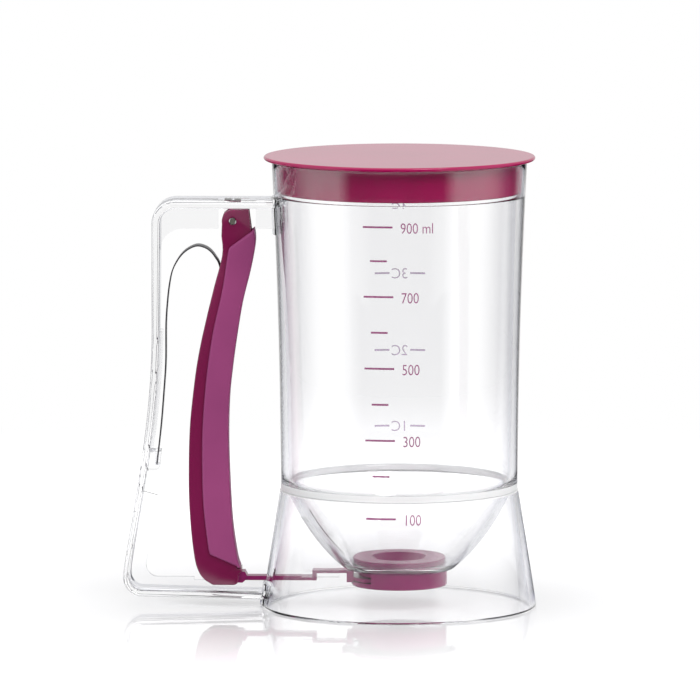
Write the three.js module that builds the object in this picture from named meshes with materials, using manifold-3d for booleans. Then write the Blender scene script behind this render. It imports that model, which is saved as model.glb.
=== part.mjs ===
// Pancake batter dispenser: a clear measuring cup with a funnel floor stands in a conical skirt.
// Squeezing the lever in the clear handle pulls a rod, and the rod draws a flat gate off the outlet.
// Millimetres, +Z up, the handle towards -X, the surface it stands on at z = 0.

import * as THREE from 'three';
import { mergeVertices } from 'three/addons/utils/BufferGeometryUtils.js';
import Module from 'manifold-3d';

const wasm = await Module();
wasm.setup();

// Clearances and mesh detail
const fitGap = 0.3;
const cutOverrun = 3;
const weldTolerance = 1e-4;
const roundSegments = 64;
const valveSegments = 48;
const pinSegments = 16;
const wallSteps = 6;
const bowlSteps = 8;
const barSteps = 18;
const cornerSteps = 6;
const leverSteps = 12;
const springSteps = 34;

// Cup
const cupRimRadius = 53;
const cupBodyHeight = 136.8;
const cupFlarePower = 1.9;
const cupFootBore = 46.3;
const cupShoulderBore = 48.7;
const rimSeatFloor = 14.3;
const rimSeatWall = 1;
const rimSeatFlare = 0.7;
const bowlWall = 2.4;
const bowlShoulder = 2.6;
const bowlFootRadius = 23.4;
const bowlBulgeShares = [0.66, 0.4];
const bowlFloor = 2.3;
const bowlSeamDrop = 3.5;
const collarLipDrop = 0.9;
const collarLipWall = 1.4;
const guideThickness = 1.8;
const guideReachShare = 0.819;
const guideInset = 0.6;

// Base skirt
const skirtHeight = 49.2;
const skirtBaseRadius = 57.15;
const skirtTopRadius = 49.6;
const skirtWall = 2.4;
const skirtLedge = 0.3;

// Lid
const lidRadius = 56.35;
const lidThickness = 1.6;
const lidEdge = 0.4;
const plugDepth = 13.3;
const plugWall = 2;
const plugTaper = 0.25;

// Valve
const valveStand = 8.7;
const housingRadius = 19.9;
const housingWall = 2.5;
const housingHeight = 7.3;
const housingFloor = 2.1;
const windowHeight = 5.2;
const windowSide = 2.8;
const outletRadius = 6.2;
const seatFlangeRadius = 19.5;
const seatFlangeThickness = 1.9;
const seatEdge = 0.5;
const throatRadius = 11.5;
const throatDepth = 4.3;
const sealLand = 1.4;
const sealWidth = 1.8;
const sealThickness = 1.5;
const gasketThickness = 0.7;
const gasketCover = 0.8;

// Gate and pull rod
const gateThickness = 1.4;
const gateHalfWidth = 13.5;
const gateOverlap = 4.5;
const gateCorner = 4;
const gateTravel = 16.9;
const blockHalfWidth = 6.5;
const blockFrontX = -21.75;
const blockBackX = -18;
const blockDrop = 0.7;
const tongueHalfWidth = 3.4;
const tongueThickness = 1.2;
const tongueLift = 1.3;
const rodHalfWidth = 3;
const rodThickness = 1.8;
const rodHeight = 10.7;
const stepFrontX = -36.1;
const stepThickness = 1.75;
const stripEndX = -31;
const neckLength = 2;
const neckHalfWidth = 1.2;
const headLength = 1.4;
const headHalfWidth = 2.2;
const knuckleHeight = 4.6;
const knuckleDrop = 0.9;
const knuckleFront = 7.8;
const knuckleToe = 1;
const knuckleBack = 2.2;
const trunnionInset = 2.9;
const trunnionRadius = 1.4;

// Handle
const handleReach = 114.8;
const handleFlare = 12.2;
const handleDrop = 15.9;
const handleHalfWidth = 10;
const handleTopStrip = 3.6;
const handleFootStrip = 2.7;
const handleEdge = 0.6;
const handleTopCorner = 10;
const handleFootCorner = 8;
const handleFootRise = 4.6;
const handleFootFall = 0.026;
const bowShares = [0.307, 0.612, 0.936];
const ribThickness = 2;
const topRibDepth = 12.7;
const topRibCorner = 9;
const sideRibTop = 48;
const sideRibDepth = 6.1;
const sideRibRunIn = 2;
const footRibHeight = 11.8;
const footRibCorner = 5;
const footRibSpare = 4.4;
const padThickness = 0.8;
const padOverhang = 0.4;
const topPadHeight = 14.4;
const footPadRise = 1;
const footPadHeight = 8.5;
const notchFront = 9.5;
const notchBack = 6.1;
const lugRadius = 3.4;
const railTop = 140;
const railDepth = 1.2;
const railRunIn = 4;

// Catch for the leaf spring
const catchTop = 65;
const catchHeight = 8;
const catchFloor = 2.3;
const catchWall = 0.7;
const catchSide = 1.4;
const catchChamfer = 0.8;

// Lever, its grip and its pin
const pinShare = 0.3246;
const pinDrop = 9.2;
const pinRadius = 1.2;
const pinRecess = 0.6;
const leverFootDrop = 1.7;
const leverBowShare = 0.371;
const leverHalfWidth = 6.2;
const leverCheek = 1.6;
const leverWeb = 2;
const leverEdge = 0.6;
const headRadius = 5.1;
const headShift = 0.6;
const headSlope = 1.1;
const headWebDrop = 4.7;
const headArcDegrees = [90, 190];
const footLedge = 0.5;
const footCorner = 2.2;
const noseReach = 1.3;
const noseHeights = [4.2, 5.5, 7];
const footWebRise = 5.8;
const fingerShares = [
  [0.021, 0.489], [0.06, 0.514], [0.135, 0.404], [0.224, 0.223], [0.311, 0.1], [0.4, -0.002],
  [0.486, -0.076], [0.596, -0.0995], [0.727, -0.066], [0.835, -0.008], [0.923, 0.096], [0.952, 0.168],
];
const palmShares = [
  [0.04, -0.252], [0.0915, -0.233], [0.179, -0.418], [0.267, -0.597], [0.354, -0.754],
  [0.442, -0.868], [0.573, -0.9765], [0.727, -1], [0.835, -0.959], [0.923, -0.8755],
  [0.962, -0.784], [0.985, -0.648], [1, -0.451],
];
const gripEdgeShares = [
  [0.067, -0.03], [0.086, -0.105], [0.188, -0.234], [0.3, -0.44], [0.408, -0.576],
  [0.52, -0.663], [0.626, -0.696], [0.77, -0.674], [0.886, -0.571], [0.915, -0.52],
];
const gripThickness = 1;
const gripEdge = 0.8;

// Leaf spring
const springThickness = 0.5;
const springHalfWidth = 4.25;
const springStandOff = 2.8;
const springHeadroom = 19.4;
const springShares = [
  [0, 0], [0.0605, 0.174], [0.1, 0.33], [0.128, 0.47], [0.132, 0.637], [0.153, 0.742],
  [0.181, 0.821], [0.222, 0.883], [0.293, 0.93], [0.374, 0.964], [0.471, 0.987], [0.575, 0.998],
  [0.68, 0.99], [0.76, 0.972], [0.824, 0.945], [0.884, 0.904], [0.96, 0.77], [1, 0.617],
];

// Heights of the valve stack, from the table up
const channelFloorZ = valveStand + housingFloor;
const gateBottomZ = channelFloorZ + fitGap;
const gateTopZ = gateBottomZ + gateThickness;
const sealBottomZ = gateTopZ + fitGap;
const stemBottomZ = sealBottomZ + fitGap;
const housingTopZ = valveStand + housingHeight;
const bowlFloorZ = housingTopZ + fitGap;
const bowlFloorTopZ = bowlFloorZ + bowlFloor;
const flangeBottomZ = bowlFloorTopZ + fitGap;
const flangeTopZ = flangeBottomZ + seatFlangeThickness;
const boreRadius = housingRadius - housingWall;
const stemRadius = boreRadius - fitGap;
const tongueBottomZ = gateTopZ + tongueLift;
const tongueTopZ = tongueBottomZ + tongueThickness;

// Heights of the cup and places along the pull rod
const cupWaistRadius = skirtTopRadius - skirtLedge;
const cupBottomZ = skirtHeight + fitGap;
const rimZ = cupBottomZ + cupBodyHeight;
const bowlSeamZ = cupBottomZ - bowlSeamDrop;
const guideReach = cupWaistRadius * guideReachShare;
const guideHeel = bowlFootRadius + guideInset;
const tongueEndX = stripEndX + fitGap;
const headStartX = stripEndX + neckLength;
const headEndX = headStartX + headLength;
const rimSeatZ = rimZ - rimSeatFloor;
const rodTopZ = rodHeight + rodThickness;
const handleTop = rimZ - handleDrop;
const handleTopReach = handleReach - handleFlare;
const handleGap = handleTopReach - cupRimRadius;
const pinX = -(cupRimRadius + handleGap * pinShare);
const leverBow = handleGap * leverBowShare;
const pinHeight = handleTop - pinDrop;
const trunnionX = pinX - trunnionInset;
const knuckleFootZ = rodHeight - knuckleDrop;
const knuckleTopZ = knuckleFootZ + knuckleHeight;
const knuckleFrontX = trunnionX + knuckleFront;
const trunnionZ = (knuckleFootZ + knuckleTopZ) / 2;
const cheekInside = leverHalfWidth - leverCheek;
const insideX = -cupWaistRadius / 2;
const leverFootZ = rodHeight - leverFootDrop;
const leverDrop = pinHeight - leverFootZ;
const coreInset = gripThickness + fitGap;

// A closed triangle mesh from any three.js geometry, with its seams joined
function toSolid(geometry) {
  const bare = new THREE.BufferGeometry();
  bare.setAttribute('position', geometry.getAttribute('position'));
  bare.setIndex(geometry.getIndex());
  const merged = mergeVertices(bare, weldTolerance);
  const corners = merged.getIndex().array;
  const kept = [];
  for (let i = 0; i < corners.length; i += 3) {
    const [a, b, c] = corners.slice(i, i + 3);
    if (a !== b && b !== c && c !== a) kept.push(a, b, c);
  }
  const vertProperties = new Float32Array(merged.getAttribute('position').array);
  const triVerts = new Uint32Array(kept);
  return new wasm.Manifold(new wasm.Mesh({ numProp: 3, vertProperties, triVerts }));
}

function toGeometry(solid) {
  const mesh = solid.getMesh();
  const geometry = new THREE.BufferGeometry();
  geometry.setAttribute('position', new THREE.BufferAttribute(mesh.vertProperties, 3));
  geometry.setIndex(new THREE.BufferAttribute(mesh.triVerts, 1));
  geometry.computeVertexNormals();
  return geometry;
}

// A profile of [radius, height] pairs turned round the cup's axis
function revolve(profile, segments) {
  const points = profile.map(([radius, height]) => new THREE.Vector2(radius, height));
  points.push(points[0].clone());
  const geometry = new THREE.LatheGeometry(points, segments);
  geometry.rotateX(Math.PI / 2);
  return toSolid(geometry);
}

// An outline of [x, z] pairs run across the handle from yLow to yHigh, its edges rounded by edge
function acrossPlate(outline, yLow, yHigh, edge = 0) {
  const shape = new THREE.Shape(outline.map(([x, z]) => new THREE.Vector2(x, z)));
  const geometry = new THREE.ExtrudeGeometry(shape, {
    depth: yHigh - yLow - edge * 2,
    bevelEnabled: edge > 0,
    bevelThickness: edge,
    bevelSize: edge,
    bevelOffset: -edge,
    bevelSegments: 2,
  });
  geometry.rotateX(Math.PI / 2);
  geometry.translate(0, yHigh - edge, 0);
  return toSolid(indexed(geometry));
}

// An outline of [x, y] pairs run upwards from zLow to zHigh
function uprightPlate(outline, zLow, zHigh) {
  const shape = new THREE.Shape(outline.map(([x, y]) => new THREE.Vector2(x, y)));
  const geometry = new THREE.ExtrudeGeometry(shape, { depth: zHigh - zLow, bevelEnabled: false });
  geometry.translate(0, 0, zLow);
  return toSolid(indexed(geometry));
}

function indexed(geometry) {
  const count = geometry.getAttribute('position').count;
  geometry.setIndex([...Array(count).keys()]);
  return geometry;
}

function block(low, high) {
  const geometry = new THREE.BoxGeometry(high[0] - low[0], high[1] - low[1], high[2] - low[2]);
  geometry.translate((low[0] + high[0]) / 2, (low[1] + high[1]) / 2, (low[2] + high[2]) / 2);
  return toSolid(geometry);
}

function crossPin(x, z, radius, halfLength) {
  const geometry = new THREE.CylinderGeometry(radius, radius, halfLength * 2, pinSegments);
  geometry.translate(x, 0, z);
  return toSolid(geometry);
}

// A smooth curve through [x, z] pairs
function smoothCurve(points, steps) {
  const spline = new THREE.SplineCurve(points.map(([x, z]) => new THREE.Vector2(x, z)));
  return spline.getPoints(steps).map((point) => [point.x, point.y]);
}

// The points of an arc, the angles in degrees from +X towards +Z
function arc(x, z, radius, fromDegrees, toDegrees, steps) {
  const points = [];
  for (let i = 0; i <= steps; i += 1) {
    const angle = THREE.MathUtils.degToRad(fromDegrees + ((toDegrees - fromDegrees) * i) / steps);
    points.push([x + radius * Math.cos(angle), z + radius * Math.sin(angle)]);
  }
  return points;
}

// The same line moved to the left of its own direction, by a distance that may vary with height
function offsetLine(points, distanceAt) {
  return points.map(([x, z], i) => {
    const before = points[Math.max(i - 1, 0)];
    const after = points[Math.min(i + 1, points.length - 1)];
    const length = Math.hypot(after[0] - before[0], after[1] - before[1]);
    const across = [-(after[1] - before[1]) / length, (after[0] - before[0]) / length];
    const distance = distanceAt(z);
    return [x + across[0] * distance, z + across[1] * distance];
  });
}

// Outer radius of the cup at a share of its height: nearly straight below, flared to the rim
function cupRadiusAt(heightShare) {
  return cupWaistRadius + (cupRimRadius - cupWaistRadius) * heightShare ** cupFlarePower;
}

// Radius of the seat inside the rim, where the lid's plug goes, at its floor
function rimSeatRadius() {
  return cupRadiusAt(1 - rimSeatFloor / cupBodyHeight) - rimSeatWall;
}

function cupWallLine(inset) {
  const points = [];
  for (let i = 0; i <= wallSteps; i += 1) {
    const share = i / wallSteps;
    points.push([cupRadiusAt(share) - inset, cupBottomZ + cupBodyHeight * share]);
  }
  return points;
}

// The bowl's outer skin, from its foot up to the weld line
function bowlLine() {
  const top = new THREE.Vector2(cupWaistRadius - bowlShoulder, cupBottomZ);
  const foot = new THREE.Vector2(bowlFootRadius, bowlFloorZ);
  const bulge = new THREE.Vector2(
    foot.x + (top.x - foot.x) * bowlBulgeShares[0],
    foot.y + (top.y - foot.y) * bowlBulgeShares[1],
  );
  const curve = new THREE.QuadraticBezierCurve(foot, bulge, top);
  return curve.getPoints(bowlSteps).map((point) => [point.x, point.y]);
}

// The vessel: wall, funnel bowl, flat floor round the valve and a short lip round the housing
function vesselProfile() {
  const skin = bowlLine();
  const lining = offsetLine(skin, () => bowlWall).slice(1);
  const lipRadius = housingRadius + fitGap;
  const floorEdge = Math.min(lining[0][0], bowlFootRadius) - bowlWall;
  const seatRadius = rimSeatRadius();
  const lipFootZ = bowlFloorZ - collarLipDrop;
  return [
    [lipRadius, lipFootZ],
    [lipRadius + collarLipWall, lipFootZ],
    ...skin,
    ...cupWallLine(0),
    [seatRadius + rimSeatFlare, rimZ],
    [seatRadius, rimSeatZ],
    [cupShoulderBore, rimSeatZ],
    [cupFootBore, cupBottomZ + bowlWall],
    ...lining.reverse(),
    [floorEdge, bowlFloorTopZ],
    [boreRadius, bowlFloorTopZ],
    [boreRadius, bowlFloorZ],
    [lipRadius, bowlFloorZ],
  ];
}

// Two plates under the bowl that keep the gate's block in line
function guidePlates() {
  const skin = offsetLine(bowlLine(), () => bowlWall / 2);
  const top = skin.filter(([radius]) => radius < guideReach && radius > guideHeel);
  const topOutline = top.map(([radius, height]) => [-radius, height]);
  const before = skin.filter(([radius]) => radius >= guideReach)[0];
  const last = top[top.length - 1];
  const endShare = (guideReach - last[0]) / (before[0] - last[0]);
  const endZ = last[1] + (before[1] - last[1]) * endShare;
  const footZ = gateTopZ + fitGap;
  const outline = [[-top[0][0], footZ], ...topOutline, [-guideReach, endZ], [-guideReach, footZ]];
  const inner = blockHalfWidth + fitGap;
  const outer = inner + guideThickness;
  return acrossPlate(outline, inner, outer).add(acrossPlate(outline, -outer, -inner));
}

// The vessel is two mouldings, welded edge to edge just under the skirt's top
function makeCup() {
  const reach = cupRimRadius + cutOverrun;
  const above = block([-reach, -reach, bowlSeamZ], [reach, reach, rimZ + cutOverrun]);
  return revolve(vesselProfile(), roundSegments).intersect(above);
}

function makeBowl() {
  const reach = cupRimRadius + cutOverrun;
  const below = block([-reach, -reach, -cutOverrun], [reach, reach, bowlSeamZ - fitGap]);
  return revolve(vesselProfile(), roundSegments).intersect(below).add(guidePlates());
}

// The skirt: one cone of even wall, with a slot that lets the pull rod out
function makeSkirt() {
  const cone = revolve([
    [skirtBaseRadius - skirtWall, 0],
    [skirtBaseRadius, 0],
    [skirtTopRadius, skirtHeight],
    [skirtTopRadius - skirtWall, skirtHeight],
  ], roundSegments);
  const halfWidth = tongueHalfWidth + fitGap;
  const rodSlot = block(
    [-(skirtBaseRadius + cutOverrun), -halfWidth, rodHeight - fitGap],
    [-(skirtTopRadius - skirtWall - cutOverrun), halfWidth, tongueTopZ + fitGap],
  );
  return cone.subtract(rodSlot);
}

// The lid: a thin disc with a hollow plug that drops inside the rim
function makeLid() {
  const underZ = rimZ + fitGap;
  const topZ = underZ + lidThickness;
  const plugRadius = rimSeatRadius() - fitGap;
  return revolve([
    [0, underZ],
    [plugRadius - plugWall, underZ],
    [plugRadius - plugWall, underZ - plugDepth],
    [plugRadius - plugTaper, underZ - plugDepth],
    [plugRadius, underZ - plugDepth + plugWall],
    [plugRadius + rimSeatFlare, underZ],
    [lidRadius - lidEdge, underZ],
    [lidRadius, underZ + lidEdge],
    [lidRadius, topZ - lidEdge],
    [lidRadius - lidEdge, topZ],
    [0, topZ],
  ], roundSegments);
}

// The valve housing: a shallow cup with the outlet in its floor and a window for the gate
function makeHousing() {
  const cup = revolve([
    [outletRadius, valveStand],
    [housingRadius - seatEdge, valveStand],
    [housingRadius, valveStand + seatEdge],
    [housingRadius, housingTopZ],
    [boreRadius, housingTopZ],
    [boreRadius, channelFloorZ],
    [outletRadius, channelFloorZ],
  ], valveSegments);
  const halfWidth = gateHalfWidth + windowSide;
  const window = block(
    [-(housingRadius + cutOverrun), -halfWidth, channelFloorZ],
    [0, halfWidth, channelFloorZ + windowHeight],
  );
  return cup.subtract(window);
}

// The valve seat: a flange on the bowl's floor and a stem down into the housing,
// with a countersunk throat and a groove under each face for its seal
function makeSeat() {
  const sealInner = outletRadius + sealLand - fitGap;
  const sealOuter = outletRadius + sealLand + sealWidth + fitGap;
  const sealRoofZ = sealBottomZ + sealThickness + fitGap;
  const gasketOuter = seatFlangeRadius - gasketCover + fitGap;
  const gasketRoofZ = flangeBottomZ + gasketThickness + fitGap;
  return revolve([
    [outletRadius, stemBottomZ],
    [sealInner, stemBottomZ],
    [sealInner, sealRoofZ],
    [sealOuter, sealRoofZ],
    [sealOuter, stemBottomZ],
    [stemRadius, stemBottomZ],
    [stemRadius, gasketRoofZ],
    [gasketOuter, gasketRoofZ],
    [gasketOuter, flangeBottomZ],
    [seatFlangeRadius, flangeBottomZ],
    [seatFlangeRadius, flangeTopZ - seatEdge],
    [seatFlangeRadius - seatEdge, flangeTopZ],
    [throatRadius, flangeTopZ],
    [outletRadius, flangeTopZ - throatDepth],
  ], valveSegments);
}

function makeGasket() {
  const inner = stemRadius + fitGap;
  const outer = seatFlangeRadius - gasketCover;
  const top = flangeBottomZ + gasketThickness;
  return revolve([[inner, flangeBottomZ], [outer, flangeBottomZ], [outer, top], [inner, top]], valveSegments);
}

function makeOutletSeal() {
  const inner = outletRadius + sealLand;
  const outer = inner + sealWidth;
  const top = sealBottomZ + sealThickness;
  return revolve([[inner, sealBottomZ], [outer, sealBottomZ], [outer, top], [inner, top]], valveSegments);
}

// The gate: a flat plate over the outlet, a block outside the window and a tongue to the rod
function makeGate() {
  const endX = outletRadius + gateOverlap;
  const plateRadius = housingRadius - fitGap;
  const sweep = THREE.MathUtils.radToDeg(Math.asin(gateHalfWidth / plateRadius));
  const backRound = arc(0, 0, plateRadius, 180 - sweep, 180 + sweep, cornerSteps);
  const outline = [
    ...backRound,
    ...arc(endX - gateCorner, -(gateHalfWidth - gateCorner), gateCorner, -90, 0, cornerSteps),
    ...arc(endX - gateCorner, gateHalfWidth - gateCorner, gateCorner, 0, 90, cornerSteps),
  ];
  const plate = uprightPlate(outline, gateBottomZ, gateTopZ);
  const neck = block([blockFrontX, -blockHalfWidth, gateBottomZ], [-boreRadius, blockHalfWidth, gateTopZ]);
  const clearOfHousing = revolve([
    [0, gateBottomZ - cutOverrun],
    [housingRadius + fitGap, gateBottomZ - cutOverrun],
    [housingRadius + fitGap, tongueTopZ + cutOverrun],
    [0, tongueTopZ + cutOverrun],
  ], valveSegments);
  const boss = block(
    [blockFrontX, -blockHalfWidth, gateBottomZ - blockDrop],
    [blockBackX, blockHalfWidth, tongueTopZ],
  ).subtract(clearOfHousing);
  const tongue = block(
    [tongueEndX, -tongueHalfWidth, tongueBottomZ],
    [blockFrontX, tongueHalfWidth, tongueTopZ],
  );
  const mouth = block(
    [tongueEndX - cutOverrun, -(neckHalfWidth + fitGap), tongueBottomZ - cutOverrun],
    [headStartX, neckHalfWidth + fitGap, tongueTopZ + cutOverrun],
  );
  const pocket = block(
    [headStartX - fitGap, -(headHalfWidth + fitGap), tongueBottomZ - cutOverrun],
    [headEndX + fitGap, headHalfWidth + fitGap, tongueTopZ + cutOverrun],
  );
  return plate.add(neck).add(boss).add(tongue).subtract(mouth).subtract(pocket);
}

// The pull rod's cranked front end: a step up to a strip, whose hammer head drops into the tongue
function rodHook() {
  const step = block(
    [stepFrontX, -tongueHalfWidth, rodHeight],
    [stepFrontX + stepThickness, tongueHalfWidth, tongueTopZ],
  );
  const strip = block(
    [stepFrontX, -tongueHalfWidth, tongueBottomZ],
    [stripEndX, tongueHalfWidth, tongueTopZ],
  );
  const neck = block(
    [stepFrontX + stepThickness, -neckHalfWidth, tongueBottomZ],
    [headEndX, neckHalfWidth, tongueTopZ],
  );
  const head = block([headStartX, -headHalfWidth, tongueBottomZ], [headEndX, headHalfWidth, tongueTopZ]);
  return step.add(strip).add(neck).add(head);
}

// The pull rod: a flat bar with a cranked front end, and a knuckle between the lever's cheeks;
// the knuckle straddles the rib under it and carries a cross pin on each side
function makeRod() {
  const halfWidth = cheekInside - fitGap;
  const backX = trunnionX - knuckleBack;
  const bar = block(
    [knuckleFrontX - knuckleToe, -rodHalfWidth, rodHeight],
    [stepFrontX + stepThickness, rodHalfWidth, rodTopZ],
  );
  const knuckle = acrossPlate([
    [backX, knuckleFootZ],
    [knuckleFrontX - knuckleToe, knuckleFootZ],
    [knuckleFrontX, rodHeight],
    [knuckleFrontX + knuckleToe, rodTopZ],
    [knuckleFrontX, knuckleTopZ],
    [backX, knuckleTopZ],
  ], -halfWidth, halfWidth);
  const slotHalf = ribThickness / 2 + fitGap;
  const ribSlot = block(
    [backX - cutOverrun, -slotHalf, knuckleFootZ - cutOverrun],
    [knuckleFrontX - knuckleToe, slotHalf, footRibHeight + fitGap],
  );
  const frontSlot = block(
    [knuckleFrontX - knuckleToe * 2, -slotHalf, knuckleFootZ - cutOverrun],
    [knuckleFrontX + cutOverrun, slotHalf, rodHeight],
  );
  const trunnion = crossPin(trunnionX, trunnionZ, trunnionRadius, cheekInside + leverCheek / 2 - fitGap);
  return knuckle.add(trunnion).subtract(ribSlot).subtract(frontSlot).add(bar).add(rodHook());
}

// A turned solid that follows the outside of the cup and skirt, grown by an offset
function bodyEnvelope(offset) {
  const wall = cupWallLine(-offset);
  return revolve([
    [0, -cutOverrun],
    [skirtBaseRadius + offset, -cutOverrun],
    [skirtBaseRadius + offset, 0],
    [skirtTopRadius + offset, skirtHeight],
    ...wall,
    [cupRimRadius + offset, rimZ + cutOverrun],
    [0, rimZ + cutOverrun],
  ], roundSegments);
}

// The handle's outer line, from the cup over the top corner and down to the skirt
function handleOuterLine() {
  const cornerX = -(handleTopReach - handleTopCorner);
  const cornerZ = handleTop - handleTopCorner;
  const footX = -(handleReach - handleFootCorner);
  const footZ = handleFootRise + handleFootCorner;
  const [bowStart, upperPull, lowerPull] = bowShares.map((share) => cornerZ - (cornerZ - footZ) * share);
  const side = new THREE.CubicBezierCurve(
    new THREE.Vector2(-handleTopReach, bowStart),
    new THREE.Vector2(-handleTopReach, upperPull),
    new THREE.Vector2(-handleReach, lowerPull),
    new THREE.Vector2(-handleReach, footZ),
  );
  return [
    [insideX, handleTop],
    [(cornerX + insideX) / 2, handleTop],
    ...arc(cornerX, cornerZ, handleTopCorner, 90, 180, cornerSteps),
    ...side.getPoints(barSteps).map((point) => [point.x, point.y]),
    ...arc(footX, footZ, handleFootCorner, 180, 270, cornerSteps).slice(1),
    [insideX, handleFootRise - (insideX - footX) * handleFootFall],
  ];
}

// Thickness of the handle's strip at a height, thinning towards the foot
function stripAt(z) {
  const share = THREE.MathUtils.clamp((z - handleFootRise) / (handleTop - handleFootRise), 0, 1);
  return handleFootStrip + (handleTopStrip - handleFootStrip) * share * share;
}

// The handle's inner face, or a line deeper inside it
function handleInnerLine(depth) {
  return offsetLine(handleOuterLine(), (z) => stripAt(z) + depth);
}

// The middle of the strip, where the ribs take root
function stripMiddle() {
  return offsetLine(handleOuterLine(), (z) => stripAt(z) / 2);
}

// The rib under the top bar, with a rounded corner into the side bar
function topRib() {
  const footZ = handleTop - topRibDepth;
  const sideX = -(handleTopReach - stripAt(footZ));
  const cornerZ = footZ - topRibCorner;
  const root = stripMiddle().filter(([, z]) => z > cornerZ);
  const corner = arc(sideX + topRibCorner, cornerZ, topRibCorner, 180, 90, cornerSteps);
  const outline = [...root, [root[root.length - 1][0], cornerZ], ...corner, [insideX, footZ]];
  return acrossPlate(outline, -ribThickness / 2, ribThickness / 2);
}

// The rib round the handle's foot: along the side bar, and level under the pull rod
function footRib() {
  const middle = stripMiddle();
  const deepLine = handleInnerLine(sideRibDepth);
  const sideTopZ = sideRibTop - sideRibRunIn;
  const cornerZ = footRibHeight + footRibCorner;
  const side = deepLine.filter(([x, z]) => x < -handleTopReach / 2 && z < sideTopZ && z > cornerZ);
  const cornerX = lineXAt(deepLine, cornerZ) + footRibCorner;
  const corner = arc(cornerX, cornerZ, footRibCorner, 270, 180, cornerSteps);
  const stepX = knuckleFrontX - gateTravel - footRibSpare;
  const lowZ = rodHeight - fitGap;
  const outline = [
    [lineXAt(middle, sideRibTop), sideRibTop],
    ...middle.filter(([, z]) => z < sideRibTop),
    [insideX, lowZ],
    [stepX, lowZ],
    [stepX, footRibHeight],
    ...corner,
    ...side.reverse(),
    [lineXAt(deepLine, sideTopZ), sideTopZ],
  ];
  return acrossPlate(outline, -ribThickness / 2, ribThickness / 2);
}

// The x of a line of [x, z] pairs at a height
function lineXAt(line, height) {
  const after = line.findIndex((point, i) => i > 0 && (line[i - 1][1] - height) * (point[1] - height) <= 0);
  const [x0, z0] = line[after - 1];
  const [x1, z1] = line[after];
  return x0 + ((x1 - x0) * (height - z0)) / (z1 - z0);
}

// The curved pads by which the handle is joined to the cup and to the skirt
function handlePads() {
  const sleeve = bodyEnvelope(fitGap + padThickness);
  const halfWidth = handleHalfWidth + padOverhang;
  const topPad = block(
    [-(skirtBaseRadius + cutOverrun), -halfWidth, handleTop - topPadHeight],
    [insideX, halfWidth, handleTop + padOverhang],
  );
  const footPad = block(
    [-(skirtBaseRadius + cutOverrun), -halfWidth, footPadRise],
    [insideX, halfWidth, footPadRise + footPadHeight],
  );
  return sleeve.intersect(topPad.add(footPad));
}

// Two low rails along the side bar, one on each side of the leaf spring
function springRails() {
  const middle = stripMiddle().filter(([x, z]) => x < -handleTopReach / 2 && z < railTop && z > catchTop);
  const front = handleInnerLine(railDepth)
    .filter(([x, z]) => x < -handleTopReach / 2 && z < railTop - railRunIn && z > catchTop);
  const inside = springHalfWidth + fitGap;
  const outline = [...middle, ...front.reverse()];
  return acrossPlate(outline, inside, inside + catchSide)
    .add(acrossPlate(outline, -(inside + catchSide), -inside));
}

// The catch on the side bar that holds the foot of the leaf spring, its front leaning with the spring
function springCatch() {
  const root = stripMiddle();
  const footZ = catchTop - catchHeight;
  const floorZ = footZ + catchFloor;
  const slotHalf = springThickness / 2 + fitGap;
  const slotBackX = springFootX() - slotHalf;
  const slotFootX = springFootX() + slotHalf;
  const slotTopX = lineXAt(springMiddle(), catchTop) + slotHalf;
  const outline = [
    [lineXAt(root, footZ), footZ],
    [slotFootX + catchWall - catchChamfer, footZ],
    [slotFootX + catchWall, floorZ],
    [slotTopX + catchWall, catchTop],
    [lineXAt(root, catchTop), catchTop],
  ];
  const slotHalfWidth = springHalfWidth + fitGap;
  const halfWidth = slotHalfWidth + catchSide;
  const slot = acrossPlate([
    [slotBackX, floorZ],
    [slotFootX, floorZ],
    [slotTopX, catchTop],
    [slotTopX, catchTop + cutOverrun],
    [slotBackX, catchTop + cutOverrun],
  ], -slotHalfWidth, slotHalfWidth);
  return acrossPlate(outline, -halfWidth, halfWidth).subtract(slot);
}

// The lug between the lever's cheeks that carries the pivot pin
function pivotLug() {
  const rootZ = handleTop - handleTopStrip / 2;
  const outline = [
    [pinX - lugRadius, rootZ],
    ...arc(pinX, pinHeight, lugRadius, 180, 360, cornerSteps * 2),
    [pinX + lugRadius, rootZ],
  ];
  return acrossPlate(outline, -(cheekInside - fitGap), cheekInside - fitGap);
}

function makeHandle() {
  const outline = [...handleOuterLine(), ...handleInnerLine(0).reverse()];
  const strip = acrossPlate(outline, -handleHalfWidth, handleHalfWidth, handleEdge);
  const headNotch = block(
    [pinX - notchBack, -handleHalfWidth, handleTop - topRibDepth - cutOverrun],
    [pinX + notchFront, handleHalfWidth, handleTop - handleTopStrip / 2],
  );
  const pinHole = crossPin(pinX, pinHeight, pinRadius + fitGap, cheekInside);
  return strip
    .add(topRib().subtract(headNotch))
    .add(footRib())
    .add(handlePads())
    .add(springRails())
    .add(springCatch())
    .add(pivotLug())
    .subtract(bodyEnvelope(fitGap))
    .subtract(pinHole);
}

// A curve down the lever, its points as shares of the drop and of the bow
function leverCurve(shares, shift) {
  const points = shares.map(([down, across]) => [
    pinX + leverBow * across + shift,
    pinHeight - leverDrop * down,
  ]);
  return smoothCurve(points, leverSteps);
}

// The lever's side outline: flat-topped head, bowed shank and rounded heel, let in for the grip
function leverOutline() {
  const front = leverCurve(fingerShares, -coreInset);
  const footX = front[front.length - 1][0] + footLedge;
  const noseX = footX + noseReach;
  const [noseFootZ, noseEdgeZ, noseTopZ] = noseHeights.map((rise) => leverFootZ + rise);
  return [
    [front[0][0] - headSlope, pinHeight + headRadius],
    ...arc(pinX + headShift, pinHeight, headRadius, ...headArcDegrees, cornerSteps),
    ...leverCurve(palmShares, 0),
    ...arc(footX - footCorner, leverFootZ + footCorner, footCorner, 270, 360, cornerSteps),
    [footX, noseFootZ],
    [noseX, noseEdgeZ],
    [noseX, noseTopZ],
    [front[front.length - 1][0], noseTopZ],
    ...front.toReversed().slice(1),
  ];
}

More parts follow.
